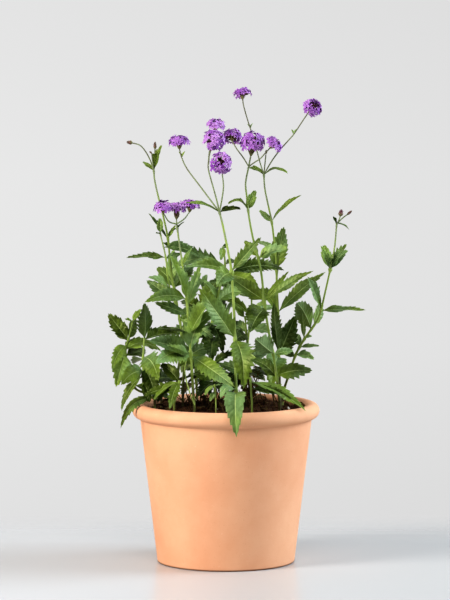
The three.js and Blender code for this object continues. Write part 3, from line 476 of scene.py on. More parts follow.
def make_piece(name, grids, materials, nodes):
    """Joins grids into one mesh object that rides on the root and stands for CAD nodes."""
    counts = [len(grid["points"]) for grid in grids]
    starts = np.concatenate([[0], np.cumsum(counts)[:-1]])
    points = np.concatenate([grid["points"] for grid in grids])
    quads = np.concatenate([grid["quads"] + start for grid, start in zip(grids, starts)])
    mesh = bpy.data.meshes.new(name)
    mesh.vertices.add(len(points))
    mesh.vertices.foreach_set("co", points.astype(np.float32).ravel())
    mesh.loops.add(quads.size)
    mesh.loops.foreach_set("vertex_index", quads.astype(np.int32).ravel())
    mesh.polygons.add(len(quads))
    mesh.polygons.foreach_set("loop_start", np.arange(0, quads.size, 4, dtype=np.int32))
    chosen = np.concatenate([grid["material"] for grid in grids]).astype(np.int32)
    mesh.polygons.foreach_set("material_index", chosen)
    mesh.polygons.foreach_set("use_smooth", np.ones(len(quads), bool))
    surface = [np.concatenate([grid[key] for grid in grids]) for key in ("across", "along")]
    surface = np.stack(surface, axis=-1)[quads.ravel()].astype(np.float32)
    mesh.uv_layers.new(name="surface").data.foreach_set("uv", surface.ravel())
    for key in ("tone", "vein"):
        values = np.concatenate([grid[key] for grid in grids]).astype(np.float32)
        mesh.attributes.new(key, "FLOAT", "POINT").data.foreach_set("value", values)
    mesh.update()
    tidy = bmesh.new()
    tidy.from_mesh(mesh)
    bmesh.ops.remove_doubles(tidy, verts=tidy.verts, dist=MERGE_WITHIN)
    bmesh.ops.dissolve_degenerate(tidy, edges=tidy.edges, dist=SLIVER)
    tidy.to_mesh(mesh)
    tidy.free()
    mesh.set_sharp_from_angle(angle=SHARP_FROM)
    for material in materials:
        mesh.materials.append(material)
    piece = bpy.data.objects.new(name, mesh)
    bpy.context.scene.collection.objects.link(piece)
    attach(piece, "root")
    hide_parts(*nodes)
    return piece


print("points within", MERGE_WITHIN / MM, "mm of each other become one")


# %% Small helpers for directions
def unit(vectors):
    """Vectors brought to length one, along the last axis."""
    return vectors / np.linalg.norm(vectors, axis=-1, keepdims=True)


def smooth_step(low, high, value):
    """0 below low, 1 above high, and a soft S between: 3x^2 - 2x^3."""
    x = np.clip((value - low) / (high - low), 0, 1)
    return x * x * (3 - 2 * x)


def square_to(axis):
    """Two directions that make a right-handed set with an axis."""
    first = unit(np.cross(axis, [0.3, 1, 0.2]))
    return first, np.cross(axis, first)


print("the soft step rises by", round(float(smooth_step(0, 1, 0.25)), 3), "in its first quarter")

# %% [markdown]
# ## Materials from nodes
#
# Each finish is a small network: a Principled shader, a colour that varies, and a bump. To keep
# the cells short, one class holds what every network repeats: adding a node, linking it, mixing
# two colours by a factor, and reading noise or a coordinate. Colours are written as they look on
# a screen and turned to the linear values that the shader wants.

# %% A helper for node networks
def linear(colour):
    """Screen values 0 to 255 to linear ones: x / 12.92 near black, ((x + .055) / 1.055) ^ 2.4."""
    x = np.array(colour) / 255
    return (*np.where(x < 0.04, x / 12.92, ((x + 0.055) / 1.055) ** 2.4), 1.0)


class Network:
    """The node network of a material or of the world, with short ways to add, link and mix."""

    def __init__(self, owner):
        self.owner = owner
        owner.use_nodes = True
        self.tree = owner.node_tree

    def give(self, socket, value):
        """Links a socket to another one, or sets its constant."""
        if isinstance(value, bpy.types.NodeSocket):
            self.tree.links.new(value, socket)
        else:
            socket.default_value = value

    def add(self, kind, settings=None, **inputs):
        """A new node with its settings, and its inputs set or linked by name."""
        node = self.tree.nodes.new("ShaderNode" + kind)
        for key, value in (settings or {}).items():
            setattr(node, key, value)
        for key, value in inputs.items():
            self.give(node.inputs[key.replace("_", " ")], value)
        return node

    def maths(self, operation, *values):
        """One operation on numbers or sockets."""
        node = self.add("Math", {"operation": operation})
        for socket, value in zip(node.inputs, values):
            self.give(socket, value)
        return node.outputs[0]

    def mix(self, factor, first, second):
        """From the first colour to the second by a factor."""
        node = self.add("Mix", {"data_type": "RGBA"})
        for socket, value in zip((node.inputs[0], node.inputs[6], node.inputs[7]),
                                 (factor, first, second)):
            self.give(socket, value)
        return node.outputs[2]

    def place(self):
        """x, y and z of a point in the object's own space, in metres."""
        return self.add("SeparateXYZ", Vector=self.add("TexCoord").outputs["Object"]).outputs

    def noise(self, scale, detail=2.0, roughness=0.5):
        """Noise on Object coordinates; scale is in waves per metre."""
        return self.add("TexNoise", Vector=self.add("TexCoord").outputs["Object"], Scale=scale,
                        Detail=detail, Roughness=roughness).outputs["Fac"]

    def stretch(self, value, low, high, to_low=0.0, to_high=1.0, soft=False):
        """Turns low to high into to_low to to_high, evenly or with soft ends, and no further."""
        settings = {"interpolation_type": "SMOOTHSTEP" if soft else "LINEAR"}
        return self.add("MapRange", settings, Value=value, From_Min=low, From_Max=high,
                        To_Min=to_low, To_Max=to_high).outputs[0]

    def attribute(self, name):
        """A number that the mesh holds for each point."""
        return self.add("Attribute", {"attribute_name": name}).outputs["Fac"]

    def surface(self):
        """The grid's own coordinates, across and along."""
        place = self.add("UVMap", {"uv_map": "surface"}).outputs[0]
        return self.add("SeparateXYZ", Vector=place).outputs[:2]

    def bump(self, height, distance, strength=1.0, normal=None):
        """A relief of some metres at full height, on top of another relief if one is given."""
        node = self.add("Bump", Height=height, Strength=strength, Distance=distance)
        if normal is not None:
            self.give(node.inputs["Normal"], normal)
        return node.outputs[0]

    def finish(self, colour, roughness, normal=None, **inputs):
        """Sets or links the shader's inputs and hands back the material."""
        shader = self.tree.nodes["Principled BSDF"]
        inputs = {"Base_Color": colour, "Roughness": roughness} | inputs
        if normal is not None:
            inputs["Normal"] = normal
        for key, value in inputs.items():
            self.give(shader.inputs[key.replace("_", " ")], value)
        return self.owner


print("screen grey 128 is", round(float(linear((128, 128, 128))[0]), 3), "of full light")

# %% [markdown]
# ## The leaf's finish
#
# A vervain leaf is stiff and a little rough, mid to dark green above with a pale midrib, and
# greyer below with the ribs standing out. The side veins run from the midrib to the tips of the
# teeth. A picture of a leaf could be wrapped on, but veins that come from the same formula as
# the teeth always meet them, so the grid hands each point its place between two veins as the
# attribute vein, and the network turns that into lines.

# %% The finish of leaves, above and below
VEIN_AT = 0.72  # of the way from one notch to the next, which is also where the tooth's tip is


def leaf_material(name, warm, cool, rib, rib_width, relief):
    """Green between a dark and a light shade by the leaf's tone, which is its own colour together
    with painted light and shade, and a noise. The shades are warm in places and cool in others,
    and a rib and veins are paler."""
    net = Network(bpy.data.materials.new(name))
    across, _ = net.surface()
    off_rib = net.maths("ABSOLUTE", net.maths("SUBTRACT", across, 0.5))
    patch = net.stretch(net.noise(70, 2), 0.35, 0.65, -0.1, 0.1)
    mottle = net.stretch(net.noise(300, 3), 0.35, 0.65, -0.08, 0.08)
    # the tone attribute carries each leaf's painted light and shade as well as its own colour
    tone = net.maths("ADD", net.attribute("tone"), net.maths("ADD", patch, mottle))
    coolness = net.stretch(net.noise(24, 1), 0.4, 0.6)
    green = net.mix(coolness, net.mix(tone, linear(warm[0]), linear(warm[1])),
                    net.mix(tone, linear(cool[0]), linear(cool[1])))
    phase = net.maths("FRACT", net.attribute("vein"))
    from_vein = net.maths("ABSOLUTE", net.maths("SUBTRACT", phase, VEIN_AT))
    vein = net.stretch(from_vein, 0.02, 0.12, 1.0, 0.0)
    midrib = net.stretch(off_rib, rib_width * 0.4, rib_width, 1.0, 0.0)
    green = net.mix(net.maths("MULTIPLY", vein, 0.03), green, linear(rib))
    shown = net.stretch(tone, 0.0, 0.6, 0.35, 0.85)
    green = net.mix(net.maths("MULTIPLY", midrib, shown), green, linear(rib))
    grain = net.bump(net.noise(900, 2), 0.0004 * abs(relief), 0.5)
    ribs = net.maths("MULTIPLY", net.maths("ADD", vein, midrib), relief)
    return net.finish(green, 0.37, net.bump(ribs, 0.0006, 0.5, grain), Specular_IOR_Level=0.4,
                      Specular_Tint=(0.95, 1.0, 0.45, 1.0))


leaf_top = leaf_material("leaf_top", ((36, 52, 0), (157, 182, 82)),
                         ((32, 54, 0), (156, 186, 128)), (196, 212, 146), 0.026, -1.0)
leaf_back = leaf_material("leaf_back", ((64, 84, 20), (150, 172, 100)),
                          ((66, 88, 38), (152, 172, 124)), (186, 200, 146), 0.035, 1.0)
print("a leaf's finish takes", len(leaf_top.node_tree.nodes), "nodes")

# %% The finish of stems
STEM_RIBS = 75.4  # radians round a stem: twelve fine ribs


def stem_material():
    """Brown at the foot, fresh green among the leaves and a dull olive on the bare stalks, with
    fine lengthwise ribs."""
    net = Network(bpy.data.materials.new("stem"))
    across, along = net.surface()
    patch = net.stretch(net.noise(120, 2), 0.3, 0.7, -0.12, 0.12)
    height = net.maths("ADD", along, patch)
    green = net.mix(net.attribute("tone"), linear((124, 144, 66)), linear((164, 184, 92)))
    green = net.mix(net.stretch(height, 0.0, 0.14), linear((92, 84, 48)), green)
    green = net.mix(net.stretch(height, 0.56, 0.74), green, linear((138, 150, 108)))
    green = net.mix(net.stretch(height, 0.8, 1.0, 0.0, 0.7), green, linear((110, 104, 86)))
    ridge = net.maths("SINE", net.maths("MULTIPLY", across, STEM_RIBS))
    return net.finish(green, 0.55, net.bump(ridge, 0.0002, 0.4), Sheen_Weight=0.15)


stem_finish = stem_material()
print("a stem's finish takes", len(stem_finish.node_tree.nodes), "nodes")

# %% [markdown]
# ## Stems
#
# The stems are square with blunt corners, swell a little where leaves leave them, and bend
# slightly from joint to joint. A curve object with a bevel could carry the section, but the
# swelling at the joints wants its own radius, so the section is carried along the route here:
# each row of the grid is one blunt square.

# %% A smooth route through a few points
SOIL_TOP, SOIL_CROWN, SOIL_CRUMB = 154.5 * MM, 4 * MM, 1.5 * MM
FOOT_TOP = SOIL_TOP + SOIL_CROWN + SOIL_CRUMB + 7 * MM  # up to here a stem stands plumb
FOOT_BOTTOM = SOIL_TOP - 22 * MM


def smooth_route(points, step=2.5 * MM):
    """A Catmull-Rom curve: between p1 and p2 it is the cubic through both whose slopes there are
    half of p2 - p0 and half of p3 - p1; the ends are mirrored to get the outer neighbours."""
    p = np.vstack([2 * points[0] - points[1], points, 2 * points[-1] - points[-2]])
    length = np.linalg.norm(np.diff(points, axis=0), axis=1).sum()
    t = np.linspace(0, len(points) - 1, max(8, int(length / step)))
    i = np.minimum(t.astype(int), len(points) - 2)
    f = (t - i)[:, None]
    p0, p1, p2, p3 = p[i], p[i + 1], p[i + 2], p[i + 3]
    return 0.5 * (2 * p1 + (p2 - p0) * f + (2 * p0 - 5 * p1 + 4 * p2 - p3) * f**2
                  + (3 * p1 - p0 - 3 * p2 + p3) * f**3)


bend = smooth_route(np.array([[0, 0, 0], [0, 0, 50], [20, 0, 100]]) * MM)
print("a bend of 10 cm through three points becomes", len(bend), "points")

# %% Stems
JOINT_SWELL, JOINT_REACH = 0.28, 2.4 * MM


def stem_grid(route, foot_radius, top_radius, joints=(), tone=0.5, start=0.0, end=1.0):
    """A blunt square of radius 0.9 r (1 - 0.1 cos 4a) carried along a route. r goes evenly from
    foot to top and swells by a bell curve at each joint; the ends close to a point."""
    along = unit(np.gradient(route, axis=0))
    side = unit(np.cross(along, [0.0, 1.0, 0.0]))
    share = np.linspace(0, 1, len(route))
    radius = foot_radius + (top_radius - foot_radius) * share
    for joint in joints:
        gap = np.linalg.norm(route - joint, axis=1)
        radius = radius * (1 + JOINT_SWELL * np.exp(-((gap / JOINT_REACH) ** 2)))
    radius = np.concatenate([[0], radius, [0]])
    rows = np.r_[0, np.arange(len(route)), len(route) - 1]
    angle = np.linspace(0, 2 * np.pi, 12, endpoint=False)
    reach = radius[:, None] * 0.9 * (1 + 0.1 * np.cos(4 * (angle - np.pi / 4)))
    other = np.cross(along, side)[rows]
    points = (route[rows][:, None] + (np.cos(angle) * reach)[..., None] * side[rows][:, None]
              + (np.sin(angle) * reach)[..., None] * other[:, None])
    height = (start + (end - start) * share)[rows][:, None]
    return closed_grid(points, angle / (2 * np.pi), height, tone)


print("stems stand", round((SOIL_TOP - FOOT_BOTTOM) / MM), "mm deep in the soil")

# %% [markdown]
# ## One leaf
#
# The blade hangs on its midrib, a curve from the stem to the tip that is bowed upwards. Across it
# the two halves rise in a shallow V, the tissue puffs up between the side veins, the edge waves
# and turns slightly down, and the outline is cut into teeth that point forward. Modelled by
# hand that is an hour's work for each leaf; as a formula of t along and s across, from -1 to 1,
# it serves every leaf, and a few random numbers keep any two from being alike.

# %% The leaf formula
UP = np.array([0.0, 0.0, 1.0])
LEAF_BREADTH = 0.42  # the most that a leaf's width is of its length
SECTION = np.array([-1, -0.86, -0.64, -0.42, -0.22, -0.08, 0, 0.08, 0.22, 0.42, 0.64, 0.86, 1])
TEETH_FROM, TEETH_TO = 0.2, 0.95
TOOTH_EVERY = 6.8 * MM
BLADE, RIB_HEIGHT, RIB_WIDTH = 0.25 * MM, 0.5 * MM, 0.6 * MM
FOLD, QUILTING = 0.48, 0.035  # the slope of the V, and how far the tissue puffs up


def leaf_grid(base, tip, width, arch, face, tone, rng):
    """A closed blade. half(t), the half width, is that of a lens widest in the middle, times a
    sawtooth near the edge. The height over the midrib's curve is a V, |x| fold, plus quilting
    -cos of the vein phase, plus waves, minus s^4 for the turned-down edge."""
    chord = tip - base
    length = np.linalg.norm(chord)
    width = min(width, LEAF_BREADTH * length)
    flat = unit(np.cross(unit(chord * [1, 1, 0]), UP))
    bow = unit(np.cross(flat, chord))
    control = (base + tip) / 2 + bow * 2 * arch * length
    teeth = int(np.clip(round(length / TOOTH_EVERY), 3, 9))
    pitch = (TEETH_TO - TEETH_FROM) / teeth
    steps = np.array([0, 0.25, 0.5, VEIN_AT, 0.86])
    body = (TEETH_FROM + pitch * (np.arange(teeth)[:, None] + steps)).ravel()
    t = np.concatenate([[0, 0.03, 0.07, 0.11, 0.16], body, [TEETH_TO, 0.97, 0.987, 1]])[:, None]
    s = np.concatenate([SECTION, SECTION[-2:0:-1]])[None, :]
    under = np.concatenate([np.zeros(len(SECTION)), np.ones(len(SECTION) - 2)])[None, :]

    curve = (1 - t) ** 2 * base + 2 * t * (1 - t) * control + t**2 * tip
    along = unit(2 * (1 - t) * (control - base) + 2 * t * (tip - control))
    roll = np.radians(face) * (1 if flat[1] >= 0 else -1) + rng.uniform(-0.4, 0.4) * t
    bend = length * rng.uniform(-0.035, 0.035) * 4 * t * (1 - t)
    side = np.cos(roll) * flat + np.sin(roll) * np.cross(flat, along)
    normal = np.cross(side, along)

    swing = rng.uniform(0, 2 * np.pi, 2)
    lens = 0.12 * (1 - t) + 0.96 * np.sin(np.pi * t**0.84)
    half = width / 2 * lens * (0.14 + 0.86 * smooth_step(0, 0.24, t))
    half = np.where(t == 1, 0, half)
    slant = 0.8 * (width / 2) / length
    phase = (t + slant * (1 - np.abs(s)) - TEETH_FROM) / pitch
    saw = (t - TEETH_FROM) / pitch % 1
    saw = np.where(saw < VEIN_AT, saw / VEIN_AT, (1 - saw) / (1 - VEIN_AT))
    depth = 1 + 0.6 * np.sin(rng.uniform(5, 9) * t * (1 + 0.2 * np.sign(s)) + swing[0] * s)
    cut = smooth_step(TEETH_FROM - 0.02, TEETH_FROM + 0.1, t) * (1 - smooth_step(0.9, 1, t))
    bite = rng.uniform(0.08, 0.19) * (0.3 + 0.7 * smooth_step(18 * MM, 40 * MM, length))
    x = s * half * (1 + bite * depth * cut * (2 * saw - 1) * np.abs(s) ** 3)
    x = x * (1 + rng.uniform(-0.07, 0.07) * np.sign(s))
    forward = 0.35 * pitch * length * cut * saw * np.abs(s) ** 5

    fold = FOLD * rng.uniform(0.5, 1.5)
    height = fold * (np.hypot(x, 0.5 * MM) - 0.5 * MM)
    quilt = 4 * np.abs(s) * (1 - np.abs(s)) * smooth_step(0.05, 0.25, t)
    height = height - QUILTING * half * quilt * np.cos(2 * np.pi * (phase - VEIN_AT))
    height = height + 0.14 * half * s * np.abs(s) * np.sin(9 * t + swing[0])
    height = height + 0.12 * half * s**2 * np.cos(13 * t + swing[1]) - 0.12 * half * s**4
    thick = BLADE * (1 - s**6) * np.minimum(1, half / MM)
    rib = RIB_HEIGHT * np.exp(-((x / RIB_WIDTH) ** 2)) * (1 - 0.8 * t)
    height = height + np.where(under > 0, -thick - rib, thick - 0.3 * rib)

    points = (curve[:, None] + (x + bend)[..., None] * side[:, None]
              + height[..., None] * normal[:, None] + forward[..., None] * along[:, None])
    points[0], points[-1] = curve[0], curve[-1]
    lower = np.concatenate([np.zeros(len(SECTION) - 1), np.ones(len(SECTION) - 1)])
    return closed_grid(points, (s + 1) / 2, t, tone, phase, 1 + lower)


sample = leaf_grid(np.zeros(3), np.array([0.05, 0, 0]), 0.02, 0.1, 0, 0.5,
                   np.random.default_rng(1))
print("a 50 mm leaf has", len(sample["quads"]), "faces")

# %% [markdown]
# ## The sixteen shoots
#
# Each shoot becomes one piece: its stem down into the soil, its side stalks, and its leaves,
# each leaf starting on the stem at the height that the table gives. Every leaf gets its own
# tone, partly its own colour, which differs with age, and partly painted light and shade: leaves
# are painted darkest deep in the clump and at its back, where shade falls, and paler where the
# sky reaches them, and they are full green again high on the shoots. On the bare stalks a joint
# has only two tiny bracts.

# %% Where leaves leave the stem, and their tones with painted shade
rng = np.random.default_rng(7)

# Leaves whose tone is given, by their place in the list: 0 is dark and 1 the palest. A tone is
# partly the leaf's own colour and partly painted shade: leaves that lie in shadow, deep in the
# clump or at the back, are painted dark.
LEAF_TONES_AND_PAINTED_SHADE = {
    "centre": {2: 0.45, 3: 0.32, 4: 0.12, 5: 0.42, 6: 0.45, 7: 0.36, 8: 0.5, 9: 0.7},
    "right_front": {4: 0.3, 5: 0.34, 8: 0.08, 9: 0.4, 11: 0.3, 12: 0.2},
    "right_tall": {4: 0.42, 5: 0.3, 6: 0.4, 8: 0.15, 9: 0.08},
    "far_right": {4: 0.4, 6: 0.4},
    "left_flower": {7: 0.3, 8: 0.45, 9: 0.3, 10: 0.45, 12: 0.78},
    "low_left": {0: 0.32, 1: 0.15, 2: 0.42, 4: 0.6, 5: 0.25, 6: 0.4, 7: 0.05, 8: 0.0, 9: 0.05},
    "far_left": {2: 0.1, 3: 0.66, 4: 0.66, 11: 0.1},
    "front_left": {0: 0.42, 1: 0.36, 2: 0.08, 3: 0.1, 4: 0.05},
    "middle": {2: 0.12, 6: 0.1, 7: 0.1, 8: 0.1, 9: 0.1, 11: 0.1, 12: 0.0, 13: 0.0, 14: 0.05,
               15: 0.1, 16: 0.0, 17: 0.0},
    "middle_right": {5: 0.05, 6: 0.1, 7: 0.0, 8: 0.0},
    "front_low": {0: 0.45, 1: 0.25, 2: 0.1},
    "back_left": {8: 0.0, 9: 0.0, 10: 0.0, 11: 0.0},
    "back_right": {0: 0.0, 4: 0.15},
}


def point_on(route, v):
    """The point of a route that is drawn at height v."""
    heights = drawn_height(route)
    order = np.argsort(heights)
    return np.array([np.interp(v, heights[order], route[order, k]) for k in range(3)])


def leaf_tone_and_painted_shade(v, depth):
    """The tone of a leaf that isn't listed, partly painted light and shade: painted paler from v
    120 to 260 where the sky reaches it, less from v 290 to 330 for the tops' own green, painted
    darker towards a depth of 60 mm at the back, and up to 0.58 at random."""
    # painted light and shade: lower leaves and those at the back are painted darker, open ones
    # paler
    tone = 0.06 + 0.2 * smooth_step(120, 260, v) - 0.34 * smooth_step(290, 330, v)
    return tone - 0.2 * smooth_step(0, 60, depth) + rng.uniform(0, 0.58)


print(sum(len(known) for known in LEAF_TONES_AND_PAINTED_SHADE.values()), "leaves have a shade that is known")

# %% Build the shoots
PLANT_TOP = 475  # the height v of the highest head

# The joints of the bare stalks, as u, v and depth.
JOINT_BRACTS = {"centre": [(-43.5, 403.5, -20)],
                "right_tall": [(24.2, 431.5, 3), (66.8, 426, -20)]}


def build_shoot(name, shoot):
    """One piece from a row of the table: the stem, its side stalks, leaves and joint bracts."""
    x, y = np.array(shoot["root"]) * MM
    start = np.array([x, y, FOOT_TOP])
    upper = smooth_route(np.vstack([start, at(shoot["stem"])]))
    foot = np.linspace([x, y, FOOT_BOTTOM + 0.5 * MM], start, 6)[:-1]
    foot_radius, top_radius = np.array(shoot["girth"]) * MM
    joints = [point_on(upper, leaf[0]) for leaf in shoot["leaves"]]
    young = rng.uniform(0.1, 0.9)
    top = drawn_height(upper[-1:])[0] / PLANT_TOP
    route = np.vstack([foot, upper])
    grids = [stem_grid(route, foot_radius, top_radius, joints, young, 0, top)]
    for twig in shoot["twigs"]:
        route = smooth_route(at(twig), 2 * MM)
        low, high = drawn_height(route[[0, -1]]) / PLANT_TOP
        grids.append(stem_grid(route, top_radius * 0.85, 0.7 * MM, (), young, low, high + 0.1))
    known = LEAF_TONES_AND_PAINTED_SHADE.get(name, {})
    for k, (leaf, base) in enumerate(zip(shoot["leaves"], joints)):
        v, tip_u, tip_v, depth, width, arch, face = leaf
        # the leaf's tone, from the list or the rule above, is its own colour with painted light
        # and shade
        tone = known.get(k, leaf_tone_and_painted_shade(v, depth))
        grids.append(leaf_grid(base, at((tip_u, tip_v, depth))[0], width * MM, arch, face,
                               tone, rng))
    for u, v, depth in JOINT_BRACTS.get(name, ()):
        for side in (-1, 1):
            tip = at((u + side * rng.uniform(2, 3.4), v + rng.uniform(3.5, 6), depth - side))[0]
            grids.append(leaf_grid(at((u, v, depth))[0], tip, 1.8 * MM, 0.1, 60, 0.6, rng))
    return make_piece("fine_shoot_" + name, grids, [stem_finish, leaf_top, leaf_back],
                      ["shoot_" + name])


shoots = [build_shoot(name, shoot) for name, shoot in SHOOTS.items()]
print(len(shoots), "shoots with", sum(len(shoot.data.polygons) for shoot in shoots), "faces")

# %% [markdown]
# ## The finish of bracts and petals
#
# Under the florets sit small pointed bracts and calyces, green at their foot and dark maroon at
# the tip, a little hairy. The petals are thin and soft: purple, lighter towards their edge, with
# a deep violet throat. They let some light through, which is why a head glows when light comes
# from behind it.

# %% Bract and petal materials
PETAL_VEINS = 30.0  # radians across a petal


def bract_material():
    """Green at the foot of a bract and maroon at its tip, more so the riper it is."""
    net = Network(bpy.data.materials.new("bracts"))
    _, along = net.surface()
    patch = net.stretch(net.noise(700, 2), 0.3, 0.7, -0.15, 0.15)
    place = net.maths("ADD", net.maths("MULTIPLY", along, 0.55), net.attribute("tone"))
    place = net.maths("ADD", place, patch)
    colour = net.mix(net.stretch(place, 0.15, 0.75), linear((132, 142, 76)), linear((104, 50, 66)))
    fuzz = net.bump(net.noise(3000, 1), 0.0003, 0.5)
    return net.finish(colour, 0.6, fuzz, Sheen_Weight=0.2)


def petal_material():
    """Purple, lighter by the floret's own tone, with a violet throat and fine veins."""
    net = Network(bpy.data.materials.new("petals"))
    across, along = net.surface()
    patch = net.stretch(net.noise(500, 2), 0.3, 0.7, -0.15, 0.15)
    tone = net.maths("ADD", net.attribute("tone"), patch)
    colour = net.mix(tone, linear((138, 68, 166)), linear((204, 154, 217)))
    colour = net.mix(net.stretch(along, 0.35, 0.0, 0.0, 0.7), colour, linear((112, 40, 132)))
    vein = net.maths("SINE", net.maths("MULTIPLY", across, PETAL_VEINS))
    return net.finish(colour, 0.5, net.bump(vein, 0.0001, 0.3), Subsurface_Weight=0.3,
                      Subsurface_Scale=0.001, Subsurface_Radius=(0.8, 0.5, 1.0), Sheen_Weight=0.12)


bract_finish = bract_material()
petal_finish = petal_material()
for finish in (bract_finish, petal_finish):
    print("the finish of", finish.name, "takes", len(finish.node_tree.nodes), "nodes")

# %% [markdown]
# ## Flower heads
#
# A head is a short spike. Bracts wind up it in a spiral, each turned from the last by the golden
# angle, 137.5 degrees, the way a plant really sets them, so no two stand over one another. From
# between them stand the florets, thin tubes that open into five notched petals; the lowest point
# straight out and the uppermost nearly up. The florets and the bracts are each drawn once as a
# small grid and then placed many times by one multiplication with their directions.

# %% How copies are placed
GOLDEN_ANGLE = np.radians(137.508)


def placed(shape, origins, forward, inward, scale):
    """Copies of shape[row, column, xyz], or of a shape for each copy: origin + (x side + y forward
    + z face) scale, where side = forward x inward, and face is what is left square to both."""
    side = unit(np.cross(forward, inward))
    face = np.cross(side, forward)
    frames = np.stack([side, forward, face], axis=1) * scale[:, None, None]
    shape = np.broadcast_to(shape, (len(origins), *shape.shape[-3:]))
    return origins[:, None, None] + np.einsum("nrck,nkx->nrcx", shape, frames)


print("a bract is turned", round(float(np.degrees(GOLDEN_ANGLE)), 1), "degrees from the last")


# %% One bract, one calyx and one floret
def bract_shape():
    """A pointed scale one unit long: half width sin(pi t^0.7), hollow in front, thin."""
    t = np.array([0, 0.25, 0.55, 0.82, 1])[:, None]
    angle = np.linspace(0, 2 * np.pi, 6, endpoint=False)[None, :]
    half = 0.2 * np.sin(np.pi * t**0.7) ** 0.8
    bow = 0.22 * t**2
    face = np.sin(angle) * half * 0.35 + bow - 0.12 * t
    return np.stack(np.broadcast_arrays(np.cos(angle) * half, t, face), axis=-1), t


def calyx_shape():
    """The cup round a floret's tube, 4.6 mm long: its radius goes from 0.6 to 1.1 mm, and its
    mouth is a zigzag of three teeth before it closes on the tube."""
    radius = np.array([0, 0.6, 1.0, 1.1, 0])[:, None]
    height = np.array([0, 0.1, 2.4, 4.0, 3.4])[:, None] + 0 * np.zeros(6)
    height[3] += np.tile([0.6, -0.3], 3)
    angle = np.arange(6) * 2 * np.pi / 6
    shape = np.stack([np.cos(angle) * radius, height, np.sin(angle) * radius], axis=-1)
    return shape * MM, height[:, :1] / 4.6


def floret_shapes(count, rng):
    """Tubes of 6.6 mm that open into a limb of five petals. Round the limb the radius repeats gap
    between petals, lobe, shallow notch, lobe; each petal has its own reach and its own droop."""
    lobes = np.tile([0.44, 1, 0.84, 1], 5)
    petal = (lobes > 0.5) * 1.0
    angle = (np.arange(20) + np.tile([0, 0.25, 0, -0.25], 5)) * 2 * np.pi / 20
    reach = 1 + petal * np.repeat(rng.normal(0, 0.1, (count, 5)), 4, axis=1)
    droop = petal * np.repeat(rng.normal(0.4, 0.7, (count, 5)), 4, axis=1)
    none = np.zeros((count, 20))
    radius = np.stack([none, none + 0.6, 4.7 * lobes * reach, none], axis=1)
    height = np.stack([none, none + 5.7, 6.6 - droop, none + 6.5], axis=1)
    shape = np.stack([np.cos(angle) * radius, height, np.sin(angle) * radius], axis=-1)
    return shape * MM, np.array([0.5, 0.6, 1, 0])[:, None], np.tile([1, 0.5, 0, 0.5], 5)


bract, bract_along = bract_shape()
calyx, calyx_along = calyx_shape()
for name, shape in (("bract", bract), ("calyx", calyx)):
    print("a", name, "has", (shape.shape[0] - 1) * shape.shape[1], "faces")

# %% The kinds of heads
# How much longer the cone of bracts is than on a young head, in mm, and the rings of florets:
# how many, how high on the spike in mm, and how many degrees they are lifted.
HEAD_KINDS = {"dome": (0, ((11, 5.2, 28), (8, 5.4, 52), (4, 4.6, 78))),
              "low": (0, ((11, 4.8, -6), (9, 5.8, 24), (5, 5.4, 56))),
              "tall": (4.5, ((9, 4.6, -2), (9, 7.5, 18), (8, 9.5, 42), (5, 10.5, 70))),
              "cap": (5.0, ((11, 5.6, 0), (10, 8.0, 26), (6, 8.6, 58))),
              "cone": (6, ((9, 5.4, 14), (8, 6.0, 40), (4, 5.6, 70))),
              "wheel": (0, ((13, 4.6, 8), (9, 5.4, 32), (5, 4.2, 56))),
              "flat": (0, ((9, 4.8, 20), (8, 5.4, 48)))}
for kind, (_, rings) in HEAD_KINDS.items():
    print("a", kind, "head has", sum(ring[0] for ring in rings), "florets")


# %% Build the heads and buds
def spike_grids(foot, axis, size, kind, girth, ripe):
    """Bracts at height h round a spindle: its radius follows a half sine, and each bract leans
    less and less from the upright towards the top. The riper, the more maroon."""
    first, second = square_to(axis)
    cone = HEAD_KINDS[kind][0] if kind else 0
    count, length = (int(40 + 5 * cone), 11.5 + cone) if kind else (26, 7.2)
    k = np.arange(count)
    share = (k + 0.5) / count
    angle = k * GOLDEN_ANGLE
    outward = np.cos(angle)[:, None] * first + np.sin(angle)[:, None] * second
    fullness = np.sin(np.pi * share**0.8) ** 0.7
    radius = (0.9 + 1.9 * fullness if kind else (0.5 + 1.3 * fullness) * girth) * size * MM
    height = (0.2 + (length - 3.6) * share) * size * MM
    lean = (64 + 20 * share if kind else 70 + 16 * share) + rng.uniform(-9, 9, count)
    lean = np.radians(lean)[:, None]
    forward = np.cos(lean) * outward + np.sin(lean) * axis
    origins = foot + height[:, None] * axis + (radius[:, None] - 0.6 * MM * size) * outward
    scale = (4.6 - 1.4 * share if kind else 3.4 - 0.6 * share) * size * MM
    bracts = placed(bract, origins, forward, -axis + 0.3 * outward, scale)
    tone = (0.1 + ripe * share + rng.uniform(-0.12, 0.12, count))[:, None, None]

    t = np.linspace(0, 1, 9)[:, None]
    turn = np.linspace(0, 2 * np.pi, 12, endpoint=False)[None, :]
    core = (1.0 + 1.5 * np.sin(np.pi * t**0.8)) * np.sin(np.pi * np.clip(t, 0.03, 0.97)) ** 0.3
    core = np.where((t == 0) | (t == 1), 0, core) * size * girth * MM
    middle = foot + (-0.9 + (length - 1.3) * t)[..., None] * size * MM * axis
    spindle = (middle + (core * np.cos(turn))[..., None] * first
               + (core * np.sin(turn))[..., None] * second)
    return [closed_grid(bracts, 0.5, bract_along, tone), closed_grid(spindle, 0.5, t, 0.3)]


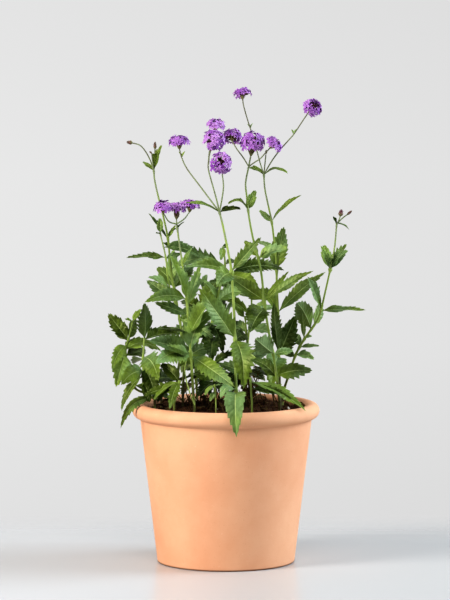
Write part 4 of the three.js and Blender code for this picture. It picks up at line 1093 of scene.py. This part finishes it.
def floret_grids(foot, axis, size, kind):
    """Rings of florets, each in its calyx: those of a ring share a height and a lift, each a
    little off. The first grid is the calyces and the second the florets."""
    first, second = square_to(axis)
    cone, rings = HEAD_KINDS[kind]
    rings = np.array(rings)
    ring = np.repeat(np.arange(len(rings)), rings[:, 0].astype(int))
    place = np.concatenate([np.arange(n) / n for n in rings[:, 0]])
    count = len(ring)
    angle = 2 * np.pi * (place + 0.37 * ring) + rng.uniform(-0.2, 0.2, count)
    outward = np.cos(angle)[:, None] * first + np.sin(angle)[:, None] * second
    lift = np.radians(rings[ring, 2] + rng.uniform(-14, 14, count))[:, None]
    forward = np.cos(lift) * outward + np.sin(lift) * axis
    height = (cone + rings[ring, 1]) * size * MM
    origins = foot + height[:, None] * axis + 2.6 * size * MM * outward
    spin = rng.uniform(0, 2 * np.pi, count)[:, None]
    around = np.cross(forward, axis)
    upward = np.cos(spin) * np.cross(around, forward) + np.sin(spin) * around
    scale = size * rng.uniform(0.84, 1.12, count)
    floret, along, across = floret_shapes(count, rng)
    florets = placed(floret, origins + 1.0 * size * MM * forward, forward, upward, scale)
    calyces = placed(calyx, origins, forward, upward, scale)
    dull = rng.uniform(0.2, 0.6, count)[:, None, None]
    tone = rng.uniform(0, 0.9, count)[:, None, None] + np.array([0.2, 0.3, 0, 0])[:, None]
    calyx_grid = closed_grid(calyces, 0.5, calyx_along, dull)
    return calyx_grid, closed_grid(florets, across, along, tone)


head_pieces = []
for shoot in SHOOTS.values():
    for name, foot_uvd, direction, size, kind, *bud_girth in shoot["heads"]:
        foot = at(foot_uvd)[0]
        axis = unit(np.array(direction, float))
        girth = bud_girth[0] if bud_girth else 1
        ripe = 0.5 if kind or name == "maroon_bud" else 0.1
        bract_grids = spike_grids(foot, axis, size, kind, girth, ripe)
        if kind:
            calyces, florets = floret_grids(foot, axis, size, kind)
            bract_grids.append(calyces)
            head_pieces.append(make_piece("fine_florets_" + name, [florets], [petal_finish],
                                          ["florets_" + name]))
        head_pieces.append(make_piece("fine_bracts_" + name, bract_grids, [bract_finish],
                                      ["bracts_" + name]))
print(len(head_pieces), "pieces in the heads and buds")

# %% [markdown]
# ## The pot
#
# Terracotta is fired from red clay, turned or pressed in a mould and left unglazed. It is matt,
# evenly coloured from afar and full of small speckles and faint turning lines from close by. The
# section is one closed line, revolved: flat foot, straight wall, a groove, a rolled rim that is
# nearly a circle in section, and the straight inside down to the floor. A screw modifier would
# revolve it too; a grid of the same two parameters also says where the turning lines run.

# %% The terracotta finish
TURNING_LINES = 900.0  # radians for a metre of wall: a line every 7 mm


def terracotta_material(darker_from):
    """Two shades of clay in clouds, dark and pale specks, a darker brown that starts at a length
    along the section, a dark line at the foot that is painted shadow where the pot meets the
    table, and faint turning lines."""
    net = Network(bpy.data.materials.new("terracotta"))
    clouds = net.stretch(net.noise(14, 4, 0.6), 0.3, 0.7)
    colour = net.mix(clouds, linear((225, 167, 132)), linear((234, 184, 149)))
    specks = net.stretch(net.noise(700, 3, 0.7), 0.62, 0.75, 0.0, 0.35)
    colour = net.mix(specks, colour, linear((186, 118, 84)))
    pale = net.stretch(net.noise(450, 3, 0.6), 0.66, 0.8, 0.0, 0.5)
    colour = net.mix(pale, colour, linear((248, 214, 184)))
    _, along = net.surface()
    # the inside of the wall turns dark brown from just below the lip down to the soil
    darkening = net.maths("ADD", along, net.stretch(net.noise(160, 3), 0.3, 0.7, -0.003, 0.003))
    darkening = net.stretch(darkening, darker_from, darker_from + 0.004, 0.0, 0.8)
    colour = net.mix(darkening, colour, linear((92, 58, 38)))
    # painted shadow: a dark line round the foot stands for the contact shadow on the table
    foot = net.stretch(net.place()[2], 0.0004, 0.0022, 0.75, 0.0)
    colour = net.mix(foot, colour, linear((96, 58, 40)))
    lines = net.maths("SINE", net.maths("MULTIPLY", along, TURNING_LINES))
    turning = net.maths("MULTIPLY", lines, net.stretch(net.noise(30, 2), 0.4, 0.7))
    rough = net.bump(net.noise(1100, 3, 0.6), 0.0003, 0.35)
    return net.finish(colour, 0.82, net.bump(turning, 0.0001, 0.15, rough),
                      Specular_IOR_Level=0.3)


print("the turning lines are", round(2 * np.pi / TURNING_LINES / MM), "mm apart")

# %% The pot's section
# In mm: the foot and the wall above it, the roll of the rim, and the inside.
FOOT_RADIUS, FOOT_ROUND, WALL_TOP, WALL_FLARE = 70.0, 2, 145, 17
RIM_RADIUS, RIM_MIDDLE, RIM_ROLL, POT_HEIGHT = 87.4, 154.4, 7.6, 162
POT_FLOOR, INSIDE_FOOT, INSIDE_FLARE, INSIDE_TOP = 9, 62.5, 19.5, 157


def inner_radius(z):
    """The inside of the wall: from 62.5 mm at the floor to 82 mm at the height of the rim."""
    return INSIDE_FOOT + INSIDE_FLARE * (z - POT_FLOOR) / (POT_HEIGHT - POT_FLOOR)


rim_turn = np.radians(np.linspace(-74, 146, 26))
rim = np.stack([RIM_RADIUS + RIM_ROLL * np.cos(rim_turn),
                RIM_MIDDLE + RIM_ROLL * np.sin(rim_turn)], axis=1)
foot_turn = np.radians(np.linspace(-90, -7, 6))
foot_edge = np.stack([FOOT_RADIUS - FOOT_ROUND + FOOT_ROUND * np.cos(foot_turn),
                      FOOT_ROUND + FOOT_ROUND * np.sin(foot_turn)], axis=1)
wall_z = np.linspace(3, WALL_TOP, 40)
flare = WALL_FLARE * (wall_z - FOOT_ROUND) / (WALL_TOP - FOOT_ROUND)
wall = np.stack([FOOT_RADIUS + flare, wall_z], axis=1)
inside_z = np.linspace(INSIDE_TOP, 12, 12)
inside = np.stack([inner_radius(inside_z), inside_z], axis=1)
groove = [[87.5, 146.2]]
underside = [[0, 0], [30, 0], [60, 0]]
floor_inside = [[60, POT_FLOOR], [30, POT_FLOOR], [0, POT_FLOOR]]
section = np.vstack([underside, foot_edge, wall, groove, rim, inside, floor_inside]) * MM
print("the pot is", round(2 * section[:, 0].max() / MM, 1), "mm across the rim")

# %% The section, revolved
turn = np.linspace(0, 2 * np.pi, 144, endpoint=False)
pot_points = np.stack([section[:, :1] * np.cos(turn), section[:, :1] * np.sin(turn),
                       section[:, 1:] + 0 * turn], axis=-1)
steps = np.linalg.norm(np.diff(section, axis=0), axis=1)
length_along = np.concatenate([[0], np.cumsum(steps)])
mouth = np.flatnonzero(section[:, 1] > (INSIDE_TOP - 0.1) * MM)[-1]
darker_from = float(length_along[mouth])  # where the wall inside goes down towards the soil
print("the damp mark starts", round(darker_from / MM), "mm along the section")
pot = make_piece("fine_pot", [closed_grid(pot_points, np.abs(turn / np.pi - 1),
                                          length_along[:, None])],
                 [terracotta_material(darker_from)], ["pot"])

# %% [markdown]
# Three drain holes let water out. They are cut with a boolean, because a hole through a closed
# solid is exactly what that modifier is for; it is applied at once.

# %% Cut the drain holes
DRAIN_RADIUS, DRAIN_CIRCLE, DRAIN_COUNT = 6 * MM, 34 * MM, 3
DRILL_LENGTH = 40 * MM


def cut_round_hole(piece, x, y, radius, height):
    """Takes a cylinder at x, y out of a piece and keeps the result as its mesh."""
    tool = bmesh.new()
    bmesh.ops.create_cone(tool, cap_ends=True, segments=32, radius1=radius, radius2=radius,
                          depth=height)
    bmesh.ops.translate(tool, verts=tool.verts, vec=(x, y, 0))
    mesh = bpy.data.meshes.new("drill")
    tool.to_mesh(mesh)
    tool.free()
    drill = bpy.data.objects.new("drill", mesh)
    bpy.context.scene.collection.objects.link(drill)
    cut = piece.modifiers.new("hole", "BOOLEAN")
    cut.object = drill
    result = bpy.data.meshes.new_from_object(
        piece.evaluated_get(bpy.context.evaluated_depsgraph_get()))
    piece.modifiers.clear()
    piece.data = result
    bpy.data.objects.remove(drill)


for k in range(DRAIN_COUNT):
    angle = (k + 0.25) * 2 * np.pi / DRAIN_COUNT
    cut_round_hole(pot, DRAIN_CIRCLE * np.cos(angle), DRAIN_CIRCLE * np.sin(angle),
                   DRAIN_RADIUS, DRILL_LENGTH)
print("the pot has", len(pot.data.polygons), "faces")

# %% [markdown]
# ## The soil
#
# Potting mix is dark brown, nearly black when damp, with crumbs of bark and peat and a few white
# grains of perlite. The surface is a disc whose height is the sum of the slow swell that the
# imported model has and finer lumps, and some hundred crumbs lie on it. Displacing a fine
# disc alone would make smooth hills; the loose crumbs with their own edges make it soil.

# %% The soil's surface
SOIL_GAP = 0.8  # mm between the soil and the wall
SOIL_BOTTOM, BOTTOM_SHARE = 9.4 * MM, 0.76  # the root ball narrows to this share at its foot
SOIL_RINGS, SOIL_SPOKES = 44, 150


def soil_material(name, dark, light, scale):
    """A matt finish between a dark and a light shade by a noise, with a coarse relief."""
    net = Network(bpy.data.materials.new(name))
    colour = net.mix(net.stretch(net.noise(scale, 4, 0.7), 0.35, 0.7), linear(dark), linear(light))
    return net.finish(colour, 0.95, net.bump(net.noise(scale * 2, 3, 0.7), 0.0012, 0.8),
                      Specular_IOR_Level=0.2)


def lumps(x, y, rng, count=40, low=80, high=500):
    """A sum of sines in random directions, each with a height that falls with its fineness."""
    direction = rng.uniform(0, 2 * np.pi, count)
    pace = np.geomspace(low, high, count)
    shift = rng.uniform(0, 2 * np.pi, count)
    waves = np.sin(pace * (x[..., None] * np.cos(direction) + y[..., None] * np.sin(direction))
                   + shift)
    return (waves * (low / pace) ** 0.7).sum(axis=-1) * 0.45 * MM


soil_wall = (inner_radius(SOIL_TOP / MM) - SOIL_GAP) * MM


def soil_height(x, y):
    """Top of the soil: 154.5 mm at the wall, 4 mm higher in the middle, and the lumps."""
    reach = np.hypot(x, y) / soil_wall
    a, b = x / MM, y / MM
    crumbs = np.sin(0.31 * a + 1.3) * np.cos(0.27 * b) + np.sin(0.9 * a - 0.7 * b)
    swell = SOIL_CROWN * (1 - reach**2)
    return SOIL_TOP + swell + SOIL_CRUMB * crumbs / 2 + lumps(x, y, np.random.default_rng(3))


ring = np.linspace(0, 1, SOIL_RINGS)[:, None] * soil_wall
around = np.linspace(0, 2 * np.pi, SOIL_SPOKES, endpoint=False)[None, :]
x, y = ring * np.cos(around), ring * np.sin(around)
top = np.stack([x, y, soil_height(x, y)], axis=-1)[::-1]
foot = np.array([[0.0], [BOTTOM_SHARE]]) * soil_wall
below = np.stack(np.broadcast_arrays(foot * np.cos(around), foot * np.sin(around), SOIL_BOTTOM),
                 axis=-1)
surface = closed_grid(np.concatenate([below, top]), 0.5, 0.5)
print("the soil rises", round((top[..., 2].max() - SOIL_TOP) / MM, 1), "mm over its edge")

# %% Crumbs and perlite
CRUMB_COUNT, PERLITE_EVERY = 620, 60

reach = np.sqrt(rng.uniform(0, 1, CRUMB_COUNT)) * (soil_wall - 2.5 * MM)
bearing = rng.uniform(0, 2 * np.pi, CRUMB_COUNT)
x, y = reach * np.cos(bearing), reach * np.sin(bearing)
centre = np.stack([x, y, soil_height(x, y) + 0.3 * MM], axis=-1)
slope = np.linspace(0, np.pi, 5)[:, None]
turns = np.linspace(0, 2 * np.pi, 6, endpoint=False)[None, :]
pebble = np.stack(np.broadcast_arrays(np.sin(slope) * np.cos(turns), -np.cos(slope),
                                      -np.sin(slope) * np.sin(turns)), axis=-1)
wobble = 1 + rng.uniform(-0.28, 0.28, (CRUMB_COUNT, 5, 6, 1))
size = rng.uniform(0.6, 2.3, CRUMB_COUNT) * MM
lengths = unit(rng.normal(size=(CRUMB_COUNT, 3)) * [1, 1, 0.35])
flats = unit(rng.normal(size=(CRUMB_COUNT, 3)) + [0, 0, 1.5])
crumbs = placed(pebble * [0.6, 1.0, 0.5], 0 * centre, lengths, flats, size) * wobble
crumbs = crumbs + centre[:, None, None]
crumbs[:, 0], crumbs[:, -1] = crumbs[:, :1, :1].mean(axis=1), crumbs[:, -1:, :1].mean(axis=1)
is_perlite = (np.arange(CRUMB_COUNT) % PERLITE_EVERY == 7).astype(int)[:, None, None]
shade = rng.uniform(0, 1, CRUMB_COUNT)[:, None, None]
crumb_grid = closed_grid(crumbs, 0.5, 0.5, shade, 0.0, is_perlite)
print(CRUMB_COUNT, "crumbs,", is_perlite.sum(), "of them perlite")

# %% [markdown]
# Among the living stems stand the stubs of last year's, leaning and dry, and a few dead leaves
# lie between them. Behind the middle a tuft of thin twigs still holds its empty husks. All of it
# is drawn with the stem, leaf and pebble shapes from above, so no new shape is needed.

# %% Dead stems and fallen leaves
DEAD_STEMS, FALLEN_LEAVES = 70, 30
DRY_FINISH = 2  # the third finish of the soil's piece
litter = []


def soil_spot(bearing, near, far):
    """x and y at a bearing; the distance is the root of a random share between near and far, so
    that each patch of soil is as likely as the next."""
    reach = np.sqrt(rng.uniform(near, far)) * soil_wall
    return reach * np.cos(bearing), reach * np.sin(bearing)


t = np.linspace(0, 1, 6)[:, None]
for k in range(DEAD_STEMS):
    # Every other one stands in the back half, where the clump is open.
    bearing = rng.uniform(0, 2 * np.pi) if k % 2 else rng.uniform(0.12, 0.85) * np.pi
    stub = np.array([*soil_spot(bearing, 0.04, 0.6), SOIL_TOP])
    tall = rng.uniform(9, 24 if stub[1] < 0 else 30) * MM
    lean = np.append(rng.normal(0, 0.3, 2) - 0.3 * stub[:2] / soil_wall, 1)
    bent = t**2 * np.append(rng.normal(0, 3, 2), 0) * MM
    litter.append(stem_grid(stub + t * tall * lean + bent, 0.8 * MM, 0.4 * MM))

for k in range(FALLEN_LEAVES):
    spot = soil_spot(rng.uniform(0, 2 * np.pi), 0.04, 0.8)
    base = np.array([*spot, SOIL_TOP + rng.uniform(3, 7) * MM])
    direction = unit(np.append(rng.normal(0, 1, 2), rng.uniform(-0.2, 0.5)))
    tip = base + direction * rng.uniform(10, 19) * MM
    litter.append(leaf_grid(base, tip, 6 * MM, 0.12, rng.uniform(-40, 40), 0.5, rng))
print(DEAD_STEMS, "dead stems and", FALLEN_LEAVES, "fallen leaves")

# %% The tuft of twigs, and the finished soil
TUFT_FOOT, TWIGS, HUSKS_EACH = (24, 155, -4), 30, 8

husks = []
t = np.linspace(0, 1, 9)[:, None]
for k in range(TWIGS):
    reach = rng.uniform(-1, 1, 3) * [11, 9, 0] * MM
    tall = rng.uniform(18, 44) * MM
    sway = np.sin(t * rng.uniform(2, 5)) * rng.uniform(-2, 2, 3) * MM
    twig = at(TUFT_FOOT)[0] + t * reach + t * tall * UP + sway * t + rng.normal(0, 1.5, 3) * MM
    litter.append(stem_grid(twig, 0.5 * MM, 0.3 * MM))
    husks.append(twig[rng.integers(2, 9, HUSKS_EACH)]
                 + rng.normal(0, 0.9, (HUSKS_EACH, 3)) * MM)
husks = np.concatenate(husks)
husks = placed(pebble * [0.5, 1.0, 0.5], husks, unit(rng.normal(size=husks.shape)),
               unit(rng.normal(size=husks.shape)), rng.uniform(0.8, 1.7, len(husks)) * MM)
litter.append(closed_grid(husks, 0.5, 0.5, 0.5))
for grid in litter:
    grid["material"] = np.full_like(grid["material"], DRY_FINISH)

soil = make_piece("fine_soil", [surface, crumb_grid, *litter],
                  [soil_material("soil", (30, 18, 10), (104, 70, 42), 500),
                   soil_material("perlite", (190, 180, 165), (235, 230, 222), 900),
                   soil_material("dry_twigs", (52, 38, 22), (128, 104, 64), 700)],
                  ["soil"])
print("soil, crumbs and litter have", len(soil.data.polygons), "faces")

# %% [markdown]
# ## Floor and light
#
# The pot stands on a pale, slightly glossy table top in a plain grey-white studio, and the top is
# painted a little darker to the right as shade away from the main light. Behind the pot the table
# fades out to nothing, so it runs into the studio without a hard edge. What is seen there is the
# world's own light, a bright wall behind the plant. It is a touch dimmer to the right, high up and
# far down, and the side that the wall isn't on is dark. A big soft light from the left front is
# the main one, and a weaker one from the right keeps that side from going dark, so the darkest
# part of the pot lies between the two.

# %% Floor
TABLE_RADIUS, FADE_FROM, FADE_TO = 2.5, 0.12, 0.3

bpy.ops.mesh.primitive_circle_add(vertices=96, radius=TABLE_RADIUS, fill_type="NGON")
floor = bpy.context.object
floor.name = "floor"
net = Network(bpy.data.materials.new("floor"))
x, y, _ = net.place()
# painted shade: the table top goes from pale on the left to darker on the right, away from the
# main light
shade = net.mix(net.stretch(x, -0.2, 0.2), linear((196, 196, 197)), linear((184, 184, 184)))
shown = net.stretch(y, FADE_FROM, FADE_TO, 1.0, 0.0)
floor.data.materials.append(net.finish(shade, 0.24, Specular_IOR_Level=0.17, Alpha=shown))
print("the table fades out from", FADE_FROM, "to", FADE_TO, "m behind the pot's middle")

# %% Light
AIM = Vector((0, 0, 0.2))


def area_light(name, place, size, power, colour=(1, 1, 1)):
    """A round soft light at a place in metres, turned to the plant; its power is in watts."""
    data = bpy.data.lights.new(name, "AREA")
    data.shape = "DISK"
    data.size = size
    data.energy = power
    data.color = colour
    light = bpy.data.objects.new(name, data)
    light.location = place
    light.rotation_euler = (Vector(place) - AIM).to_track_quat("Z", "Y").to_euler()
    bpy.context.scene.collection.objects.link(light)


area_light("main_light", (-1.7, -1.0, 1.1), 0.8, 36.5, (1.0, 0.98, 0.945))
area_light("side_light", (1.6, 0.1, 0.95), 1.2, 28, (0.85, 0.97, 1.07))
area_light("front_light", (0.2, -1.7, 1.7), 1.6, 13)
area_light("sky_light", (0.0, -0.3, 2.4), 2.2, 8)
print("the lights have", sum(light.energy for light in bpy.data.lights), "watts together")

# %% The wall of light behind
# From and to, of the direction that is looked in, and the light at each: by y for the wall, and
# by x (0) or z (2) for the shares that fade it.
WALL_GLOW = (0.3, 0.9, 0.08, 0.565)
WALL_FADES = ((0, (-0.07, 0.07, 1.03, 0.985)), (2, (-0.1, -0.16, 1.0, 0.94)),
              (2, (0.0, -0.05, 0.97, 1.0)))

world = bpy.context.scene.world or bpy.data.worlds.new("studio")
bpy.context.scene.world = world
net = Network(world)
direction = net.add("SeparateXYZ", Vector=net.add("TexCoord").outputs["Generated"]).outputs
glow = net.stretch(direction[1], *WALL_GLOW, soft=True)
for axis, numbers in WALL_FADES:
    glow = net.maths("MULTIPLY", glow, net.stretch(direction[axis], *numbers))
background = net.tree.nodes["Background"]
net.give(background.inputs["Strength"], glow)
background.inputs["Color"].default_value = (1, 1, 1, 1)
bpy.context.scene.view_settings.view_transform = "Standard"
bpy.context.scene.view_settings.look = "High Contrast"
print("the wall behind shines at", WALL_GLOW[-1], "and the rest of the studio at", WALL_GLOW[-2])
